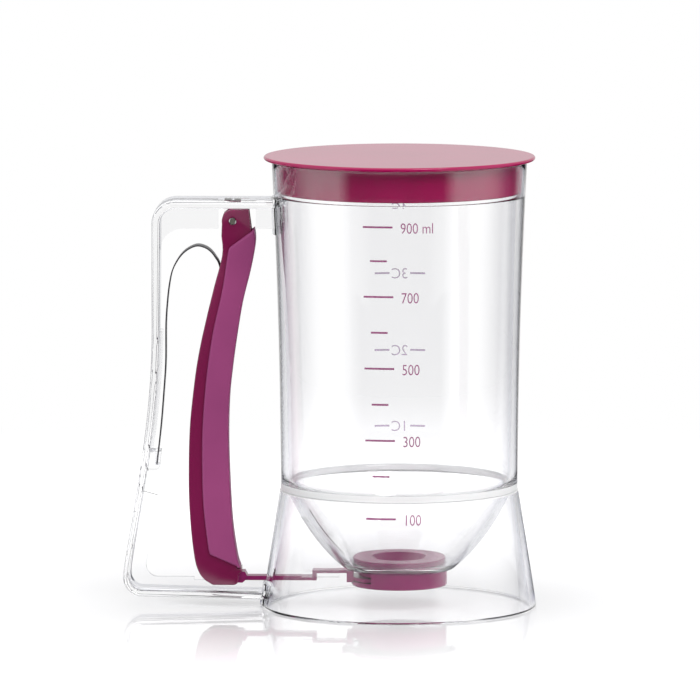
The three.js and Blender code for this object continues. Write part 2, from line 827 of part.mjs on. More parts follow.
// The hollow between the cheeks: open to the palm side, and right through at head and foot
function leverHollow() {
  const headWebZ = pinHeight - headWebDrop;
  const footWebZ = leverFootZ + footWebRise;
  const web = leverCurve(fingerShares, -(coreInset + leverWeb)).filter(([, z]) => z < headWebZ);
  const outX = pinX + leverBow + cutOverrun;
  const backX = pinX - leverBow - cutOverrun;
  const outline = [
    [backX, pinHeight + headRadius + cutOverrun],
    [outX, pinHeight + headRadius + cutOverrun],
    [outX, headWebZ],
    [web[0][0], headWebZ],
    ...web,
    [web[web.length - 1][0], footWebZ],
    [outX, footWebZ],
    [outX, leverFootZ - cutOverrun],
    [backX, leverFootZ - cutOverrun],
  ];
  return acrossPlate(outline, -cheekInside, cheekInside);
}

// Grooves inside the cheeks for the rod's cross pins, long enough for the foot's rise in its swing
function trunnionGrooves() {
  const halfWidth = cheekInside + leverCheek / 2;
  const halfSlot = trunnionRadius + fitGap;
  return block(
    [trunnionX - halfSlot, -halfWidth, leverFootZ - cutOverrun],
    [trunnionX + halfSlot, halfWidth, trunnionZ + halfSlot],
  );
}

function makeLever() {
  const recessDepth = leverHalfWidth - pinRecess;
  const recess = crossPin(pinX, pinHeight, pinRadius + pinRecess, leverHalfWidth + cutOverrun)
    .subtract(crossPin(pinX, pinHeight, pinRadius + pinRecess + fitGap, recessDepth));
  const pinHole = crossPin(pinX, pinHeight, pinRadius + fitGap, leverHalfWidth + cutOverrun);
  return acrossPlate(leverOutline(), -leverHalfWidth, leverHalfWidth, leverEdge)
    .subtract(leverHollow())
    .subtract(trunnionGrooves())
    .subtract(recess)
    .subtract(pinHole);
}

// The soft grip: a sleeve over the finger side and both cheeks, its ends cut aslant
function makeGrip() {
  const front = leverCurve(fingerShares, 0);
  const edge = leverCurve(gripEdgeShares, 0);
  const halfWidth = leverHalfWidth + fitGap + gripThickness;
  const skin = acrossPlate([...front, ...edge.reverse()], -halfWidth, halfWidth, gripEdge);
  const lining = leverCurve(fingerShares, -gripThickness);
  const backX = pinX - leverBow - cutOverrun;
  const hollow = acrossPlate([
    [backX, pinHeight],
    [lining[0][0], pinHeight],
    ...lining,
    [lining[lining.length - 1][0], leverFootZ],
    [backX, leverFootZ],
  ], -(leverHalfWidth + fitGap), leverHalfWidth + fitGap);
  return skin.subtract(hollow);
}

function makePin() {
  return crossPin(pinX, pinHeight, pinRadius, leverHalfWidth - pinRecess);
}

// The x of the spring's foot in its catch
function springFootX() {
  return lineXAt(handleInnerLine(0), catchTop) + springStandOff;
}

// The leaf spring's middle line, from its foot over the bend to its tip on the lever's web
function springMiddle() {
  const footX = springFootX();
  const footZ = catchTop - catchHeight + catchFloor + fitGap;
  const rise = handleTop - springHeadroom - footZ;
  const tipZ = footZ + rise * springShares[springShares.length - 1][1];
  const web = leverCurve(fingerShares, -(coreInset + leverWeb));
  const tipX = lineXAt(web, tipZ) - fitGap - springThickness;
  return smoothCurve(springShares.map(([across, up]) => [
    footX + (tipX - footX) * across,
    footZ + rise * up,
  ]), springSteps);
}

function makeSpring() {
  const front = offsetLine(springMiddle(), () => springThickness / 2);
  const back = offsetLine(springMiddle(), () => -springThickness / 2);
  return acrossPlate([...front, ...back.reverse()], -springHalfWidth, springHalfWidth);
}

// Materials
function clearPlastic() {
  return new THREE.MeshStandardMaterial({
    color: 0xe9edf2, roughness: 0.08, metalness: 0, transparent: true, opacity: 0.35,
  });
}

function solidMaterial(color, roughness, metalness) {
  return new THREE.MeshStandardMaterial({ color, roughness, metalness });
}

const plum = 0x94023f;
const plumSoft = 0x96417d;
const spec = [
  ['cup', makeCup, clearPlastic()],
  ['funnel_bowl', makeBowl, clearPlastic()],
  ['base_skirt', makeSkirt, clearPlastic()],
  ['handle_frame', makeHandle, clearPlastic()],
  ['lid_cap', makeLid, solidMaterial(plum, 0.35, 0)],
  ['valve_seat', makeSeat, solidMaterial(plum, 0.4, 0)],
  ['valve_housing', makeHousing, solidMaterial(plum, 0.4, 0)],
  ['seat_gasket', makeGasket, solidMaterial(0xe8e4e0, 0.7, 0)],
  ['outlet_seal', makeOutletSeal, solidMaterial(0xe8e4e0, 0.7, 0)],
  ['gate_slide', makeGate, solidMaterial(plum, 0.4, 0)],
  ['pull_rod', makeRod, solidMaterial(plum, 0.4, 0)],
  ['trigger_lever', makeLever, solidMaterial(plum, 0.3, 0)],
  ['lever_grip', makeGrip, solidMaterial(plumSoft, 0.7, 0)],
  ['pivot_pin', makePin, solidMaterial(0xb9b4aa, 0.3, 1)],
  ['leaf_spring', makeSpring, solidMaterial(0x8d8d90, 0.3, 1)],
];

// The origin lies midway between the handle's end and the far side of the skirt
const dispenser = new THREE.Group();
dispenser.position.x = (handleReach - skirtBaseRadius) / 2;
for (const [name, make, material] of spec) {
  const mesh = new THREE.Mesh(toGeometry(make()), material);
  mesh.name = name;
  dispenser.add(mesh);
}

export default dispenser;
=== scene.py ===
"""Pancake batter dispenser: the looks of each piece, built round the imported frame.

Sizes are millimetres in the cup's own frame: its axis is x = y = 0, the handle points to -X.
"""

import math

import bmesh
import bpy
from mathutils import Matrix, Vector


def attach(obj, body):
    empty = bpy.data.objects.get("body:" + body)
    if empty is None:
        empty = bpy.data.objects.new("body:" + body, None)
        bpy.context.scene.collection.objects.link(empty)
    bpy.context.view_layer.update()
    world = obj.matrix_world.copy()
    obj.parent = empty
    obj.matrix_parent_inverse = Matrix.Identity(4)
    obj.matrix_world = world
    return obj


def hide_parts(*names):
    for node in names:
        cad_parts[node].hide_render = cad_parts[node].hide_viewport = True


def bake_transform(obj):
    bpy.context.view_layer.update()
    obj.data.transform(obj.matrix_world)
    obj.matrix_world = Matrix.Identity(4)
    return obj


MM = 0.001
FIT_GAP = 0.3
OVERRUN = 3.0

# Fineness: sides of a turned piece, a valve piece and a pin, and the angle up to which a face is smooth
ROUND_SEGMENTS = 256
VALVE_SEGMENTS = 128
PIN_SEGMENTS = 48
SMOOTH_DEGREES = 30.0

# Skirt
SKIRT_H = 49.2
SKIRT_R = 57.15
SKIRT_TOP_R = 49.6
SKIRT_WALL = 2.4
SKIRT_BULGE = 0.05
SLOT_HALF = 3.7
SLOT_Z = (10.4, 15.3)
SLOT_INWARD = 5.0

# Valve
HOUSING_R = 19.9
HOUSING_WALL = 2.5
HOUSING_Z = (8.7, 16.0)
BORE_R = HOUSING_R - HOUSING_WALL
CHANNEL_Z = 10.8
WINDOW_HALF = 16.3
OUTLET_R = 6.2
STEM_R = BORE_R - FIT_GAP
STEM_Z = 13.1
SEAL_GROOVE = (7.3, 9.7)
SEAL_GROOVE_Z = 14.6
GASKET_GROOVE_R = 19.0
GASKET_GROOVE = 1.0
FLANGE_R = 19.5
FLANGE_TOP_Z = 20.8
THROAT_R = 11.5
THROAT_FOOT_Z = 16.5
VALVE_EDGE = 0.5

# Cup and bowl
SKIRT_LEDGE = 0.3
WAIST_R = SKIRT_TOP_R - SKIRT_LEDGE
RIM_R = 53.0
CUP_FOOT_Z = SKIRT_H + FIT_GAP
CUP_HEIGHT = 136.8
RIM_Z = CUP_FOOT_Z + CUP_HEIGHT
FLARE_POWER = 1.9
FOOT_BORE = 46.3
SHOULDER_BORE = 48.7
WELD_RISE = 2.6
WELD_DROP = 0.5
WELD_SLACK = 0.05
RIM_SEAT_DEPTH = 14.3
RIM_SEAT_Z = RIM_Z - RIM_SEAT_DEPTH
RIM_SEAT_WALL = 1.0
RIM_SEAT_FLARE = 0.7
SEAT_ROUND = 0.5
HEEL_RISE = 6.0
HEEL_TURN = 2.0
HEEL_LEAN = 0.1
BOWL_WALL = 2.4
SHOULDER = 2.6
BOWL_FOOT_R = 23.4
BULGE_SHARES = (0.66, 0.4)
FLOOR_T = 2.3
FLOOR_LEDGE = 1.0
FLOOR_Z = HOUSING_Z[1] + FIT_GAP
FLOOR_TOP_Z = FLOOR_Z + FLOOR_T
LIP_DROP = 0.9
LIP_WALL = 1.4
GUIDE_T = 1.8
GUIDE_IN = 6.8
GUIDE_OUT = GUIDE_IN + GUIDE_T
GUIDE_NEAR = 24.0
GUIDE_FAR = 40.38
GUIDE_Z = 12.8

# Lid
LID_R = 56.35
LID_T = 1.6
LID_UNDER_Z = RIM_Z + FIT_GAP
LID_TOP_Z = LID_UNDER_Z + LID_T
LID_FLAT_RINGS = (1.3, 2.0)
PLUG_STAND = 1.3
PLUG_FOOT_Z = RIM_SEAT_Z + PLUG_STAND
PLUG_WALL = 2.0
PLUG_TAPER = 0.25
PLUG_ROUND = 0.5
PLUG_INNER_ROUND = 0.3

# Handle
HANDLE_REACH = 114.8
HANDLE_TOP_REACH = 102.6
HANDLE_TOP = 170.4
HANDLE_HALF = 10.0
HANDLE_EDGE = 1.1
STRIP_TOP = 3.6
STRIP_FOOT = 2.7
TOP_CORNER = 10.0
FOOT_CORNER = 8.0
FOOT_RISE = 4.6
FOOT_FALL = 0.026
BOW_SHARES = (0.307, 0.612, 0.936)
RIB_HALF = 1.0
TOP_RIB_DEPTH = 12.7
TOP_RIB_Z = HANDLE_TOP - TOP_RIB_DEPTH
TOP_RIB_CORNER = 9.0
SIDE_RIB_TOP = 48.0
SIDE_RIB_DEPTH = 6.1
SIDE_RIB_RUN_IN = 2.0
FOOT_RIB_Z = 11.8
FOOT_RIB_LOW_Z = 10.4
FOOT_RIB_CORNER = 5.0
FOOT_RIB_STEP_X = -85.5
PAD = 0.8
PAD_OVERHANG = 0.4
TOP_PAD_DEPTH = 14.4
TOP_PAD_Z = HANDLE_TOP - TOP_PAD_DEPTH
FOOT_PAD_Z = (1.0, 9.5)
NOTCH = (-75.2, -59.6)
NOTCH_HALF = 5.0
RAIL_TOP_Z = 140.0
RAIL_DEPTH = 1.2
RAIL_SINK = 1.0
RAIL_RUN_OUT = 4.0
LUG_R = 3.4
CATCH_Z = (57.0, 65.0)
CATCH_FLOOR = 2.3
CATCH_WALL = 0.7
CATCH_CHAMFER = 1.2
CATCH_SIDE = 1.4

# Lever, grip and pin
PIN_X = -69.1
PIN_Z = 161.2
PIN_R = 1.2
PIN_RECESS = 0.6
LEVER_DROP = 152.2
LEVER_BOW = 18.4
LEVER_HALF = 6.2
LEVER_EDGE = 0.45
CHEEK = 1.6
WEB = 2.0
HEAD_R = 5.1
HEAD_SHIFT = 0.6
HEAD_SLOPE = 1.1
HEAD_WEB_DROP = 4.7
FOOT_LEDGE = 0.5
FOOT_ROUND = 2.2
NOSE = 1.3
NOSE_RISES = (4.2, 5.5, 7.0)
FOOT_WEB_RISE = 5.8
GRIP = 1.0
GRIP_EDGE = 0.9
GRIP_EDGE_ROUNDS = 4
FINGER_SHARES = [
    (0.021, 0.489), (0.06, 0.514), (0.135, 0.404), (0.224, 0.223), (0.311, 0.1), (0.4, -0.002),
    (0.486, -0.076), (0.596, -0.0995), (0.727, -0.066), (0.835, -0.008), (0.923, 0.096), (0.952, 0.168),
]
PALM_SHARES = [
    (0.04, -0.252), (0.0915, -0.233), (0.179, -0.418), (0.267, -0.597), (0.354, -0.754),
    (0.442, -0.868), (0.573, -0.9765), (0.727, -1.0), (0.835, -0.959), (0.923, -0.8755),
    (0.962, -0.784), (0.985, -0.648), (1.0, -0.451),
]
GRIP_SHARES = [
    (0.067, -0.03), (0.086, -0.105), (0.188, -0.234), (0.3, -0.44), (0.408, -0.576),
    (0.52, -0.663), (0.626, -0.696), (0.77, -0.674), (0.886, -0.571), (0.915, -0.52),
]

# Leaf spring
SPRING_T = 0.5
SPRING_HALF = 4.25
SPRING_EDGE = 0.12
SPRING_EDGE_ROUNDS = 2
SPRING_STAND_OFF = 2.8
SPRING_TOP_Z = 151.0
SPRING_SHARES = [
    (0.0, 0.0), (0.0605, 0.174), (0.1, 0.33), (0.128, 0.47), (0.132, 0.637), (0.153, 0.742),
    (0.181, 0.821), (0.222, 0.883), (0.293, 0.93), (0.374, 0.964), (0.471, 0.987), (0.575, 0.998),
    (0.68, 0.99), (0.76, 0.972), (0.824, 0.945), (0.884, 0.904), (0.96, 0.77), (1.0, 0.617),
]

# Printed scale: millilitres to height on the front wall, cups to height on the back wall
MARKS = {
    900: 163.5, 800: 149.5, 700: 134.7, 600: 119.9, 500: 105.0,
    400: 90.1, 300: 75.2, 200: 60.3, 100: 42.9,
}
MARK_STEP = 100
MARK_LEAN = 1.4
MARK_SHIFT = 0.7
LONG_DASH = (-15.1, -2.9)
SHORT_DASH = (-12.3, -5.4)
DASH_T = 0.8
DIGIT_X = 0.2
DIGIT_H = 4.6
DIGIT_SQUEEZE = 0.79
DIGIT_DROP = 0.3
DIGIT_THIN = 0.004
CAP_SHARE = 0.73
PRINT_PROUD = 0.06
CUP_MARKS = {4: 161.2, 3: 132.2, 2: 100.1, 1: 68.3}
CUP_DASHES = ((-11.4, -4.9), (4.2, 10.8))
CUP_LETTER_X = 0.2
CUP_DIGIT_X = 3.3

# Looks: colours in linear light, and the values of the surfaces
WHITE = (1, 1, 1, 1)
COLOUR_SCALE = 25.0
COLOUR_SPREAD = (0.35, 0.65)
COAT_ROUGHNESS = 0.08
GRAIN_DETAIL = 3.0
GRAIN_STRENGTH = 0.3
CLEAR_TINTS = ((0.985, 0.985, 0.99, 1), (0.992, 0.992, 0.995, 1))
CLEAR_TINT_SCALE = 12.0
CLEAR_IOR = 1.49
CLEAR_ROUGHNESS = 0.01
# Painted shade on the clear parts: their colour darkens towards this grey-blue where they are seen edge
# on, from the facing share below on
CLEAR_EDGE_SHADE = (0.48, 0.5, 0.62, 1)
CLEAR_EDGE_SHADE_FROM = 0.6
CLEAR_SHADOW = (0.93, 0.93, 0.94, 1)
WAVE_SCALE = 15.0
WAVE_STRENGTH = 0.1
WAVE_DEPTH = 0.00004
HAZE_TINTS = ((0.86, 0.87, 0.87, 1), (0.92, 0.92, 0.92, 1))
HAZE_ROUGHNESS = 0.5
HAZE_OPENNESS = 0.35
INK_ROUGHNESS = 0.5
BRUSH_SCALE = (900.0, 60.0, 900.0)
BRUSH_SHADE = 0.8

# Studio: light by direction, how far towards the back (-1 in front, 1 behind) and how bright, on the
# surfaces and seen through the clear parts
STUDIO_STRENGTH = 1.5
SKY_LIGHT = ((-1.0, 0.5), (-0.88, 0.5), (-0.76, 0.9), (-0.2, 0.9), (0.55, 0.5), (1.0, 0.5))
FLOOR_LIGHT = (
    (-1.0, 0.02), (-0.88, 0.02), (-0.76, 1.0), (-0.2, 0.95), (0.2, 0.6), (0.55, 0.2), (0.72, 0.03),
    (0.965, 0.02), (0.982, 0.55),
)
THROUGH_LIGHT = (
    (-1.0, 0.1), (-0.88, 0.1), (-0.76, 1.0), (-0.2, 0.9), (0.2, 0.6), (0.6, 0.13), (0.82, 0.08),
    (0.91, 0.62), (1.0, 0.66),
)
DIM_LIGHT = 0.45
DIM_BLUE = 1.25

# Floor, in metres: its glow, its mirror share and the stretches over which mirror and nearness fade
FLOOR_HALF = 3.0
FLOOR_SINK = 0.0002
FLOOR_COLOUR = (0.7, 0.7, 0.71, 1)
FLOOR_ROUGHNESS = 0.6
FLOOR_GLOW = 0.42
FLOOR_MIRROR = 0.55
MIRROR_ROUGHNESS = 0.03
MIRROR_FADE = (0.08, 0.28)
NEAR_FADE = (0.25, 0.6)
FLOOR_NARROWING = (0.6, 1.0, 1.0)

# Lamps: place and side in metres, and watts
TOP_LAMP = ((-0.1, -0.1, 1.2), 0.9, 3.0)
KEY_LAMP = ((0.5, -0.8, 1.1), 0.6, 6.5)
LAMP_AIM = (0, 0, 0.09)

# Camera: its place over the picture's centre
PICTURE_PX = 700
SENSOR = 36.0
FOCAL_PX = 8353.0
AIM = (-20.5, 0.0, 107.0)
CAMERA_DISTANCE = 3450.0
CAMERA_Z = 509.0
CAMERA_AZIMUTH = 1.0
CAMERA_CLIP = (0.1, 50.0)

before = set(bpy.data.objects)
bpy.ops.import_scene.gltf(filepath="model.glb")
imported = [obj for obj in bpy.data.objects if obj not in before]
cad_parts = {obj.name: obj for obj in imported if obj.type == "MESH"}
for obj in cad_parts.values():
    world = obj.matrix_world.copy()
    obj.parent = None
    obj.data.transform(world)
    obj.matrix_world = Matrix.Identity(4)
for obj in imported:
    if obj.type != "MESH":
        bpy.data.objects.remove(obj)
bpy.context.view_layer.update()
shift_x = (HANDLE_REACH - SKIRT_R) / 2


# Shapes

def place(x, y, z):
    """A point of the cup's frame, in the row's frame and metres."""
    return Vector(((x + shift_x) * MM, y * MM, z * MM))


def new_object(name, data):
    obj = bpy.data.objects.new(name, data)
    bpy.context.scene.collection.objects.link(obj)
    return obj


def from_bmesh(name, bm):
    mesh = bpy.data.meshes.new(name)
    bm.to_mesh(mesh)
    bm.free()
    return new_object(name, mesh)


def solid(name, bm):
    """A piece whose faces all look outwards."""
    bmesh.ops.recalc_face_normals(bm, faces=bm.faces)
    return from_bmesh(name, bm)


def turned(name, profile, segments):
    """A closed loop of (radius, height) turned round the cup's axis; points on the axis are shared."""
    bm = bmesh.new()
    rings = []
    for radius, z in profile:
        if radius == 0:
            rings.append([bm.verts.new(place(0, 0, z))] * segments)
            continue
        ring = []
        for i in range(segments):
            angle = 2 * math.pi * i / segments
            ring.append(bm.verts.new(place(radius * math.cos(angle), radius * math.sin(angle), z)))
        rings.append(ring)
    for low, high in zip(rings, rings[1:] + rings[:1]):
        for i in range(segments):
            j = (i + 1) % segments
            corners = []
            for vert in (low[i], low[j], high[j], high[i]):
                if vert not in corners:
                    corners.append(vert)
            if len(corners) > 2:
                bm.faces.new(corners)
    return solid(name, bm)


def plate(name, outline, y_low, y_high, edge=0.0, rounds=3):
    """A closed outline of (x, z), run across the handle, its edges rounded by edge."""
    bm = bmesh.new()
    verts = [bm.verts.new(place(x, y_low, z)) for x, z in outline]
    face = bm.faces.new(verts)
    rims = list(face.edges)
    run = bmesh.ops.extrude_face_region(bm, geom=[face])
    moved = [item for item in run["geom"] if isinstance(item, bmesh.types.BMVert)]
    bmesh.ops.translate(bm, verts=moved, vec=(0, (y_high - y_low) * MM, 0))
    if edge:
        far = [item for item in run["geom"] if isinstance(item, bmesh.types.BMEdge)]
        bmesh.ops.bevel(
            bm, geom=rims + far, offset=edge * MM, segments=rounds, affect="EDGES", profile=0.5
        )
    bmesh.ops.triangulate(bm, faces=[f for f in bm.faces if len(f.verts) > 4])
    return solid(name, bm)


def block(name, low, high):
    """A box between two opposite corners."""
    bm = bmesh.new()
    bmesh.ops.create_cube(bm, size=1.0)
    for vert in bm.verts:
        corner = [low[i] + (high[i] - low[i]) * (vert.co[i] + 0.5) for i in range(3)]
        vert.co = place(*corner)
    return solid(name, bm)


def circle(x, z, radius):
    return arc(x, z, radius, 0, 360, PIN_SEGMENTS)[:-1]


def apply_modifiers(obj):
    """Keeps what the modifiers make of the mesh, without the modifiers."""
    graph = bpy.context.evaluated_depsgraph_get()
    mesh = bpy.data.meshes.new_from_object(obj.evaluated_get(graph))
    obj.modifiers.clear()
    obj.data = mesh
    return obj


def combine(obj, other, operation):
    """Adds or cuts another solid, which is used up."""
    modifier = obj.modifiers.new("combine", "BOOLEAN")
    modifier.operation = operation
    modifier.solver = "EXACT"
    modifier.object = other
    apply_modifiers(obj)
    bpy.data.objects.remove(other)
    return obj


def smooth(obj):
    """Smooth shading, with the sharper edges kept."""
    obj.data.shade_smooth()
    obj.data.set_sharp_from_angle(angle=math.radians(SMOOTH_DEGREES))
    return obj


# Curves

def arc(x, z, radius, start, end, steps):
    """Points on a circle round x, z, between two angles in degrees."""
    points = []
    for i in range(steps + 1):
        angle = math.radians(start + (end - start) * i / steps)
        points.append((x + radius * math.cos(angle), z + radius * math.sin(angle)))
    return points


def between(t, a, b, c, d):
    """The value at share t of the way from b to c, on a smooth curve through all four."""
    square = a - 2.5 * b + 2 * c - d / 2
    cube = 1.5 * b - a / 2 - 1.5 * c + d / 2
    return b + t * ((c - a) / 2 + t * (square + t * cube))


def spline(points, steps):
    """Points on a smooth curve through the given ones."""
    last = len(points) - 1
    curve = []
    for i in range(steps + 1):
        at = last * i / steps
        k = min(int(at), last - 1)
        around = (points[max(k - 1, 0)], points[k], points[k + 1], points[min(k + 2, last)])
        curve.append(tuple(between(at - k, *values) for values in zip(*around)))
    return curve


def bezier(p0, p1, p2, p3, steps):
    """Points on a curve from p0 to p3 that p1 and p2 pull towards them."""
    points = []
    for i in range(steps + 1):
        t = i / steps
        s = 1 - t
        points.append(tuple(
            s ** 3 * a + 3 * s * s * t * b + 3 * s * t * t * c + t ** 3 * d
            for a, b, c, d in zip(p0, p1, p2, p3)
        ))
    return points


def offset(points, distance_at):
    """The line moved to the left of its own direction."""
    moved = []
    for i, (x, z) in enumerate(points):
        before, after = points[max(i - 1, 0)], points[min(i + 1, len(points) - 1)]
        dx, dz = after[0] - before[0], after[1] - before[1]
        length = math.hypot(dx, dz)
        distance = distance_at(z)
        moved.append((x - dz / length * distance, z + dx / length * distance))
    return moved


def x_at(line, height):
    """The line's first value where its second one reaches a height."""
    for (x0, z0), (x1, z1) in zip(line, line[1:]):
        if (z0 - height) * (z1 - height) <= 0 and z0 != z1:
            return x0 + (x1 - x0) * (height - z0) / (z1 - z0)
    return line[-1][0]


# Cup, skirt and lid

def cup_radius(z):
    """Outside of the cup's wall: nearly straight below, flared to the rim."""
    share = max((z - CUP_FOOT_Z) / CUP_HEIGHT, 0.0)
    return WAIST_R + (RIM_R - WAIST_R) * share ** FLARE_POWER


def cup_line(inset, steps=40):
    points = []
    for i in range(steps + 1):
        z = CUP_FOOT_Z + CUP_HEIGHT * i / steps
        points.append((cup_radius(z) - inset, z))
    return points


def rim_seat_radius():
    return cup_radius(RIM_SEAT_Z) - RIM_SEAT_WALL


def bowl_line(steps=28):
    top = (WAIST_R - SHOULDER, CUP_FOOT_Z)
    foot = (BOWL_FOOT_R, FLOOR_Z)
    bulge = tuple(f + (t - f) * share for f, t, share in zip(foot, top, BULGE_SHARES))
    points = []
    for i in range(steps + 1):
        t = i / steps
        points.append(tuple(
            (1 - t) ** 2 * a + 2 * t * (1 - t) * b + t * t * c for a, b, c in zip(foot, bulge, top)
        ))
    return points


def guide_outline(skin):
    """A plate under the bowl that keeps the rod in line."""
    middle = offset(skin, lambda z: BOWL_WALL / 2)
    top = [(-r, z) for r, z in middle if GUIDE_NEAR < r < GUIDE_FAR]
    end_z = x_at([(z, r) for r, z in middle], GUIDE_FAR)
    return [(top[0][0], GUIDE_Z), *top, (-GUIDE_FAR, end_z), (-GUIDE_FAR, GUIDE_Z)]


def make_cup():
    skin = bowl_line()
    lining = offset(skin, lambda z: BOWL_WALL)[1:]
    lip_r = HOUSING_R + FIT_GAP
    seat_r = rim_seat_radius()
    wall = RIM_SEAT_WALL / 2
    outer = cup_line(0)
    outer.insert(1, (cup_radius(CUP_FOOT_Z + WELD_RISE), CUP_FOOT_Z + WELD_RISE))
    outer[-1:] = arc(RIM_R - wall, RIM_Z - wall, wall, 0, 90, 6)
    lip = arc(seat_r + RIM_SEAT_FLARE + wall, RIM_Z - wall, wall, 90, 180, 6)
    step = arc(SHOULDER_BORE + SEAT_ROUND, RIM_SEAT_Z - SEAT_ROUND, SEAT_ROUND, 90, 180, 5)
    heel_z = CUP_FOOT_Z + BOWL_WALL
    heel = bezier(
        (FOOT_BORE + HEEL_LEAN, heel_z + HEEL_RISE), (FOOT_BORE, heel_z + HEEL_TURN), (FOOT_BORE, heel_z),
        lining[-1], 10
    )
    lip_z = FLOOR_Z - LIP_DROP
    profile = [
        (lip_r, lip_z), (lip_r + LIP_WALL, lip_z), *skin, *outer, *lip, (seat_r, RIM_SEAT_Z), *step,
        *heel[:-1], *lining[::-1], (lining[0][0] - FLOOR_LEDGE, FLOOR_TOP_Z), (BORE_R, FLOOR_TOP_Z),
        (BORE_R, FLOOR_Z), (lip_r, FLOOR_Z),
    ]
    cup = turned("cup_clear", profile, ROUND_SEGMENTS)
    outline = guide_outline(skin)
    for name, low, high in (("left", GUIDE_IN, GUIDE_OUT), ("right", -GUIDE_OUT, -GUIDE_IN)):
        combine(cup, plate("guide_" + name, outline, low, high), "UNION")
    return smooth(cup)


def make_skirt():
    edge = WELD_DROP
    profile = [
        (SKIRT_R - SKIRT_WALL + edge, 0), (SKIRT_R - edge, 0), (SKIRT_R, edge),
        (SKIRT_TOP_R + SKIRT_BULGE, SKIRT_H - edge), (SKIRT_TOP_R - edge, SKIRT_H),
        (SKIRT_TOP_R - SKIRT_WALL, SKIRT_H), (SKIRT_R - SKIRT_WALL, edge),
    ]
    skirt = turned("skirt_clear", profile, ROUND_SEGMENTS)
    low, high = SLOT_Z
    slot = block(
        "slot", (-SKIRT_R - OVERRUN, -SLOT_HALF, low), (-SKIRT_TOP_R + SLOT_INWARD, SLOT_HALF, high)
    )
    return smooth(combine(skirt, slot, "DIFFERENCE"))


def make_lid():
    plug_r = rim_seat_radius() - FIT_GAP
    inner_r = plug_r - PLUG_WALL
    foot_r = plug_r - PLUG_TAPER
    half = LID_T / 2
    edge = arc(LID_R - half, LID_UNDER_Z + half, half, -90, 90, 8)
    flat = [(LID_R - inset, LID_TOP_Z) for inset in LID_FLAT_RINGS]
    profile = [
        (0, LID_UNDER_Z), (inner_r - PLUG_ROUND, LID_UNDER_Z), (inner_r, LID_UNDER_Z - PLUG_ROUND),
        (inner_r, PLUG_FOOT_Z + PLUG_INNER_ROUND), (inner_r + PLUG_INNER_ROUND, PLUG_FOOT_Z),
        (foot_r - PLUG_ROUND, PLUG_FOOT_Z), (foot_r, PLUG_FOOT_Z + PLUG_ROUND),
        (plug_r, PLUG_FOOT_Z + PLUG_WALL), (plug_r + RIM_SEAT_FLARE, LID_UNDER_Z),
        *edge, *flat, (0, LID_TOP_Z),
    ]
    return smooth(turned("lid_magenta", profile, ROUND_SEGMENTS))


# Valve

def make_housing():
    low, high = HOUSING_Z
    profile = [
        (OUTLET_R, low), (HOUSING_R - VALVE_EDGE, low), (HOUSING_R, low + VALVE_EDGE), (HOUSING_R, high),
        (BORE_R, high), (BORE_R, CHANNEL_Z), (OUTLET_R, CHANNEL_Z),
    ]
    housing = turned("housing_magenta", profile, VALVE_SEGMENTS)
    window = block(
        "window", (-HOUSING_R - OVERRUN, -WINDOW_HALF, CHANNEL_Z), (0, WINDOW_HALF, high + OVERRUN)
    )
    return smooth(combine(housing, window, "DIFFERENCE"))


def make_seat():
    low, high = FLOOR_TOP_Z + FIT_GAP, FLANGE_TOP_Z
    seal_in, seal_out = SEAL_GROOVE
    gasket_z = low + GASKET_GROOVE
    profile = [
        (OUTLET_R, STEM_Z), (seal_in, STEM_Z), (seal_in, SEAL_GROOVE_Z), (seal_out, SEAL_GROOVE_Z),
        (seal_out, STEM_Z), (STEM_R, STEM_Z), (STEM_R, gasket_z), (GASKET_GROOVE_R, gasket_z),
        (GASKET_GROOVE_R, low), (FLANGE_R, low), (FLANGE_R, high - VALVE_EDGE),
        (FLANGE_R - VALVE_EDGE, high), (THROAT_R, high), (OUTLET_R, THROAT_FOOT_Z),
    ]
    return smooth(turned("seat_magenta", profile, VALVE_SEGMENTS))


# Handle

def strip_at(z):
    """Thickness of the loop's strip at a height."""
    share = min(max((z - FOOT_RISE) / (HANDLE_TOP - FOOT_RISE), 0.0), 1.0)
    return STRIP_FOOT + (STRIP_TOP - STRIP_FOOT) * share * share


def handle_line():
    """Outside of the loop, from the cup over the top to the skirt."""
    corner_x = -(HANDLE_TOP_REACH - TOP_CORNER)
    corner_z = HANDLE_TOP - TOP_CORNER
    foot_x = -(HANDLE_REACH - FOOT_CORNER)
    foot_z = FOOT_RISE + FOOT_CORNER
    inside_x = -WAIST_R / 2
    start, upper, lower = (corner_z - (corner_z - foot_z) * share for share in BOW_SHARES)
    side = bezier(
        (-HANDLE_TOP_REACH, start), (-HANDLE_TOP_REACH, upper), (-HANDLE_REACH, lower),
        (-HANDLE_REACH, foot_z), 48
    )
    return [
        (inside_x, HANDLE_TOP),
        *arc(corner_x, corner_z, TOP_CORNER, 90, 180, 16),
        *side,
        *arc(foot_x, foot_z, FOOT_CORNER, 180, 270, 16)[1:],
        (inside_x, FOOT_RISE - (inside_x - foot_x) * FOOT_FALL),
    ]


def inner_line(depth):
    return offset(handle_line(), lambda z: strip_at(z) + depth)


def middle_line():
    return offset(handle_line(), lambda z: strip_at(z) / 2)


def on_side_bar(line, low, high):
    """The line's points on the side bar, between two heights."""
    return [p for p in line if p[0] < -HANDLE_TOP_REACH / 2 and low < p[1] < high]


def envelope(name, grow):
    """The outside of skirt and cup, grown, to cut or shape what is joined to them."""
    wall = cup_line(-grow, 24)
    profile = [
        (0, -OVERRUN), (SKIRT_R + grow, -OVERRUN), (SKIRT_R + grow, 0), (SKIRT_TOP_R + grow, SKIRT_H),
        *wall, (RIM_R + grow, RIM_Z + OVERRUN), (0, RIM_Z + OVERRUN),
    ]
    return turned(name, profile, ROUND_SEGMENTS)


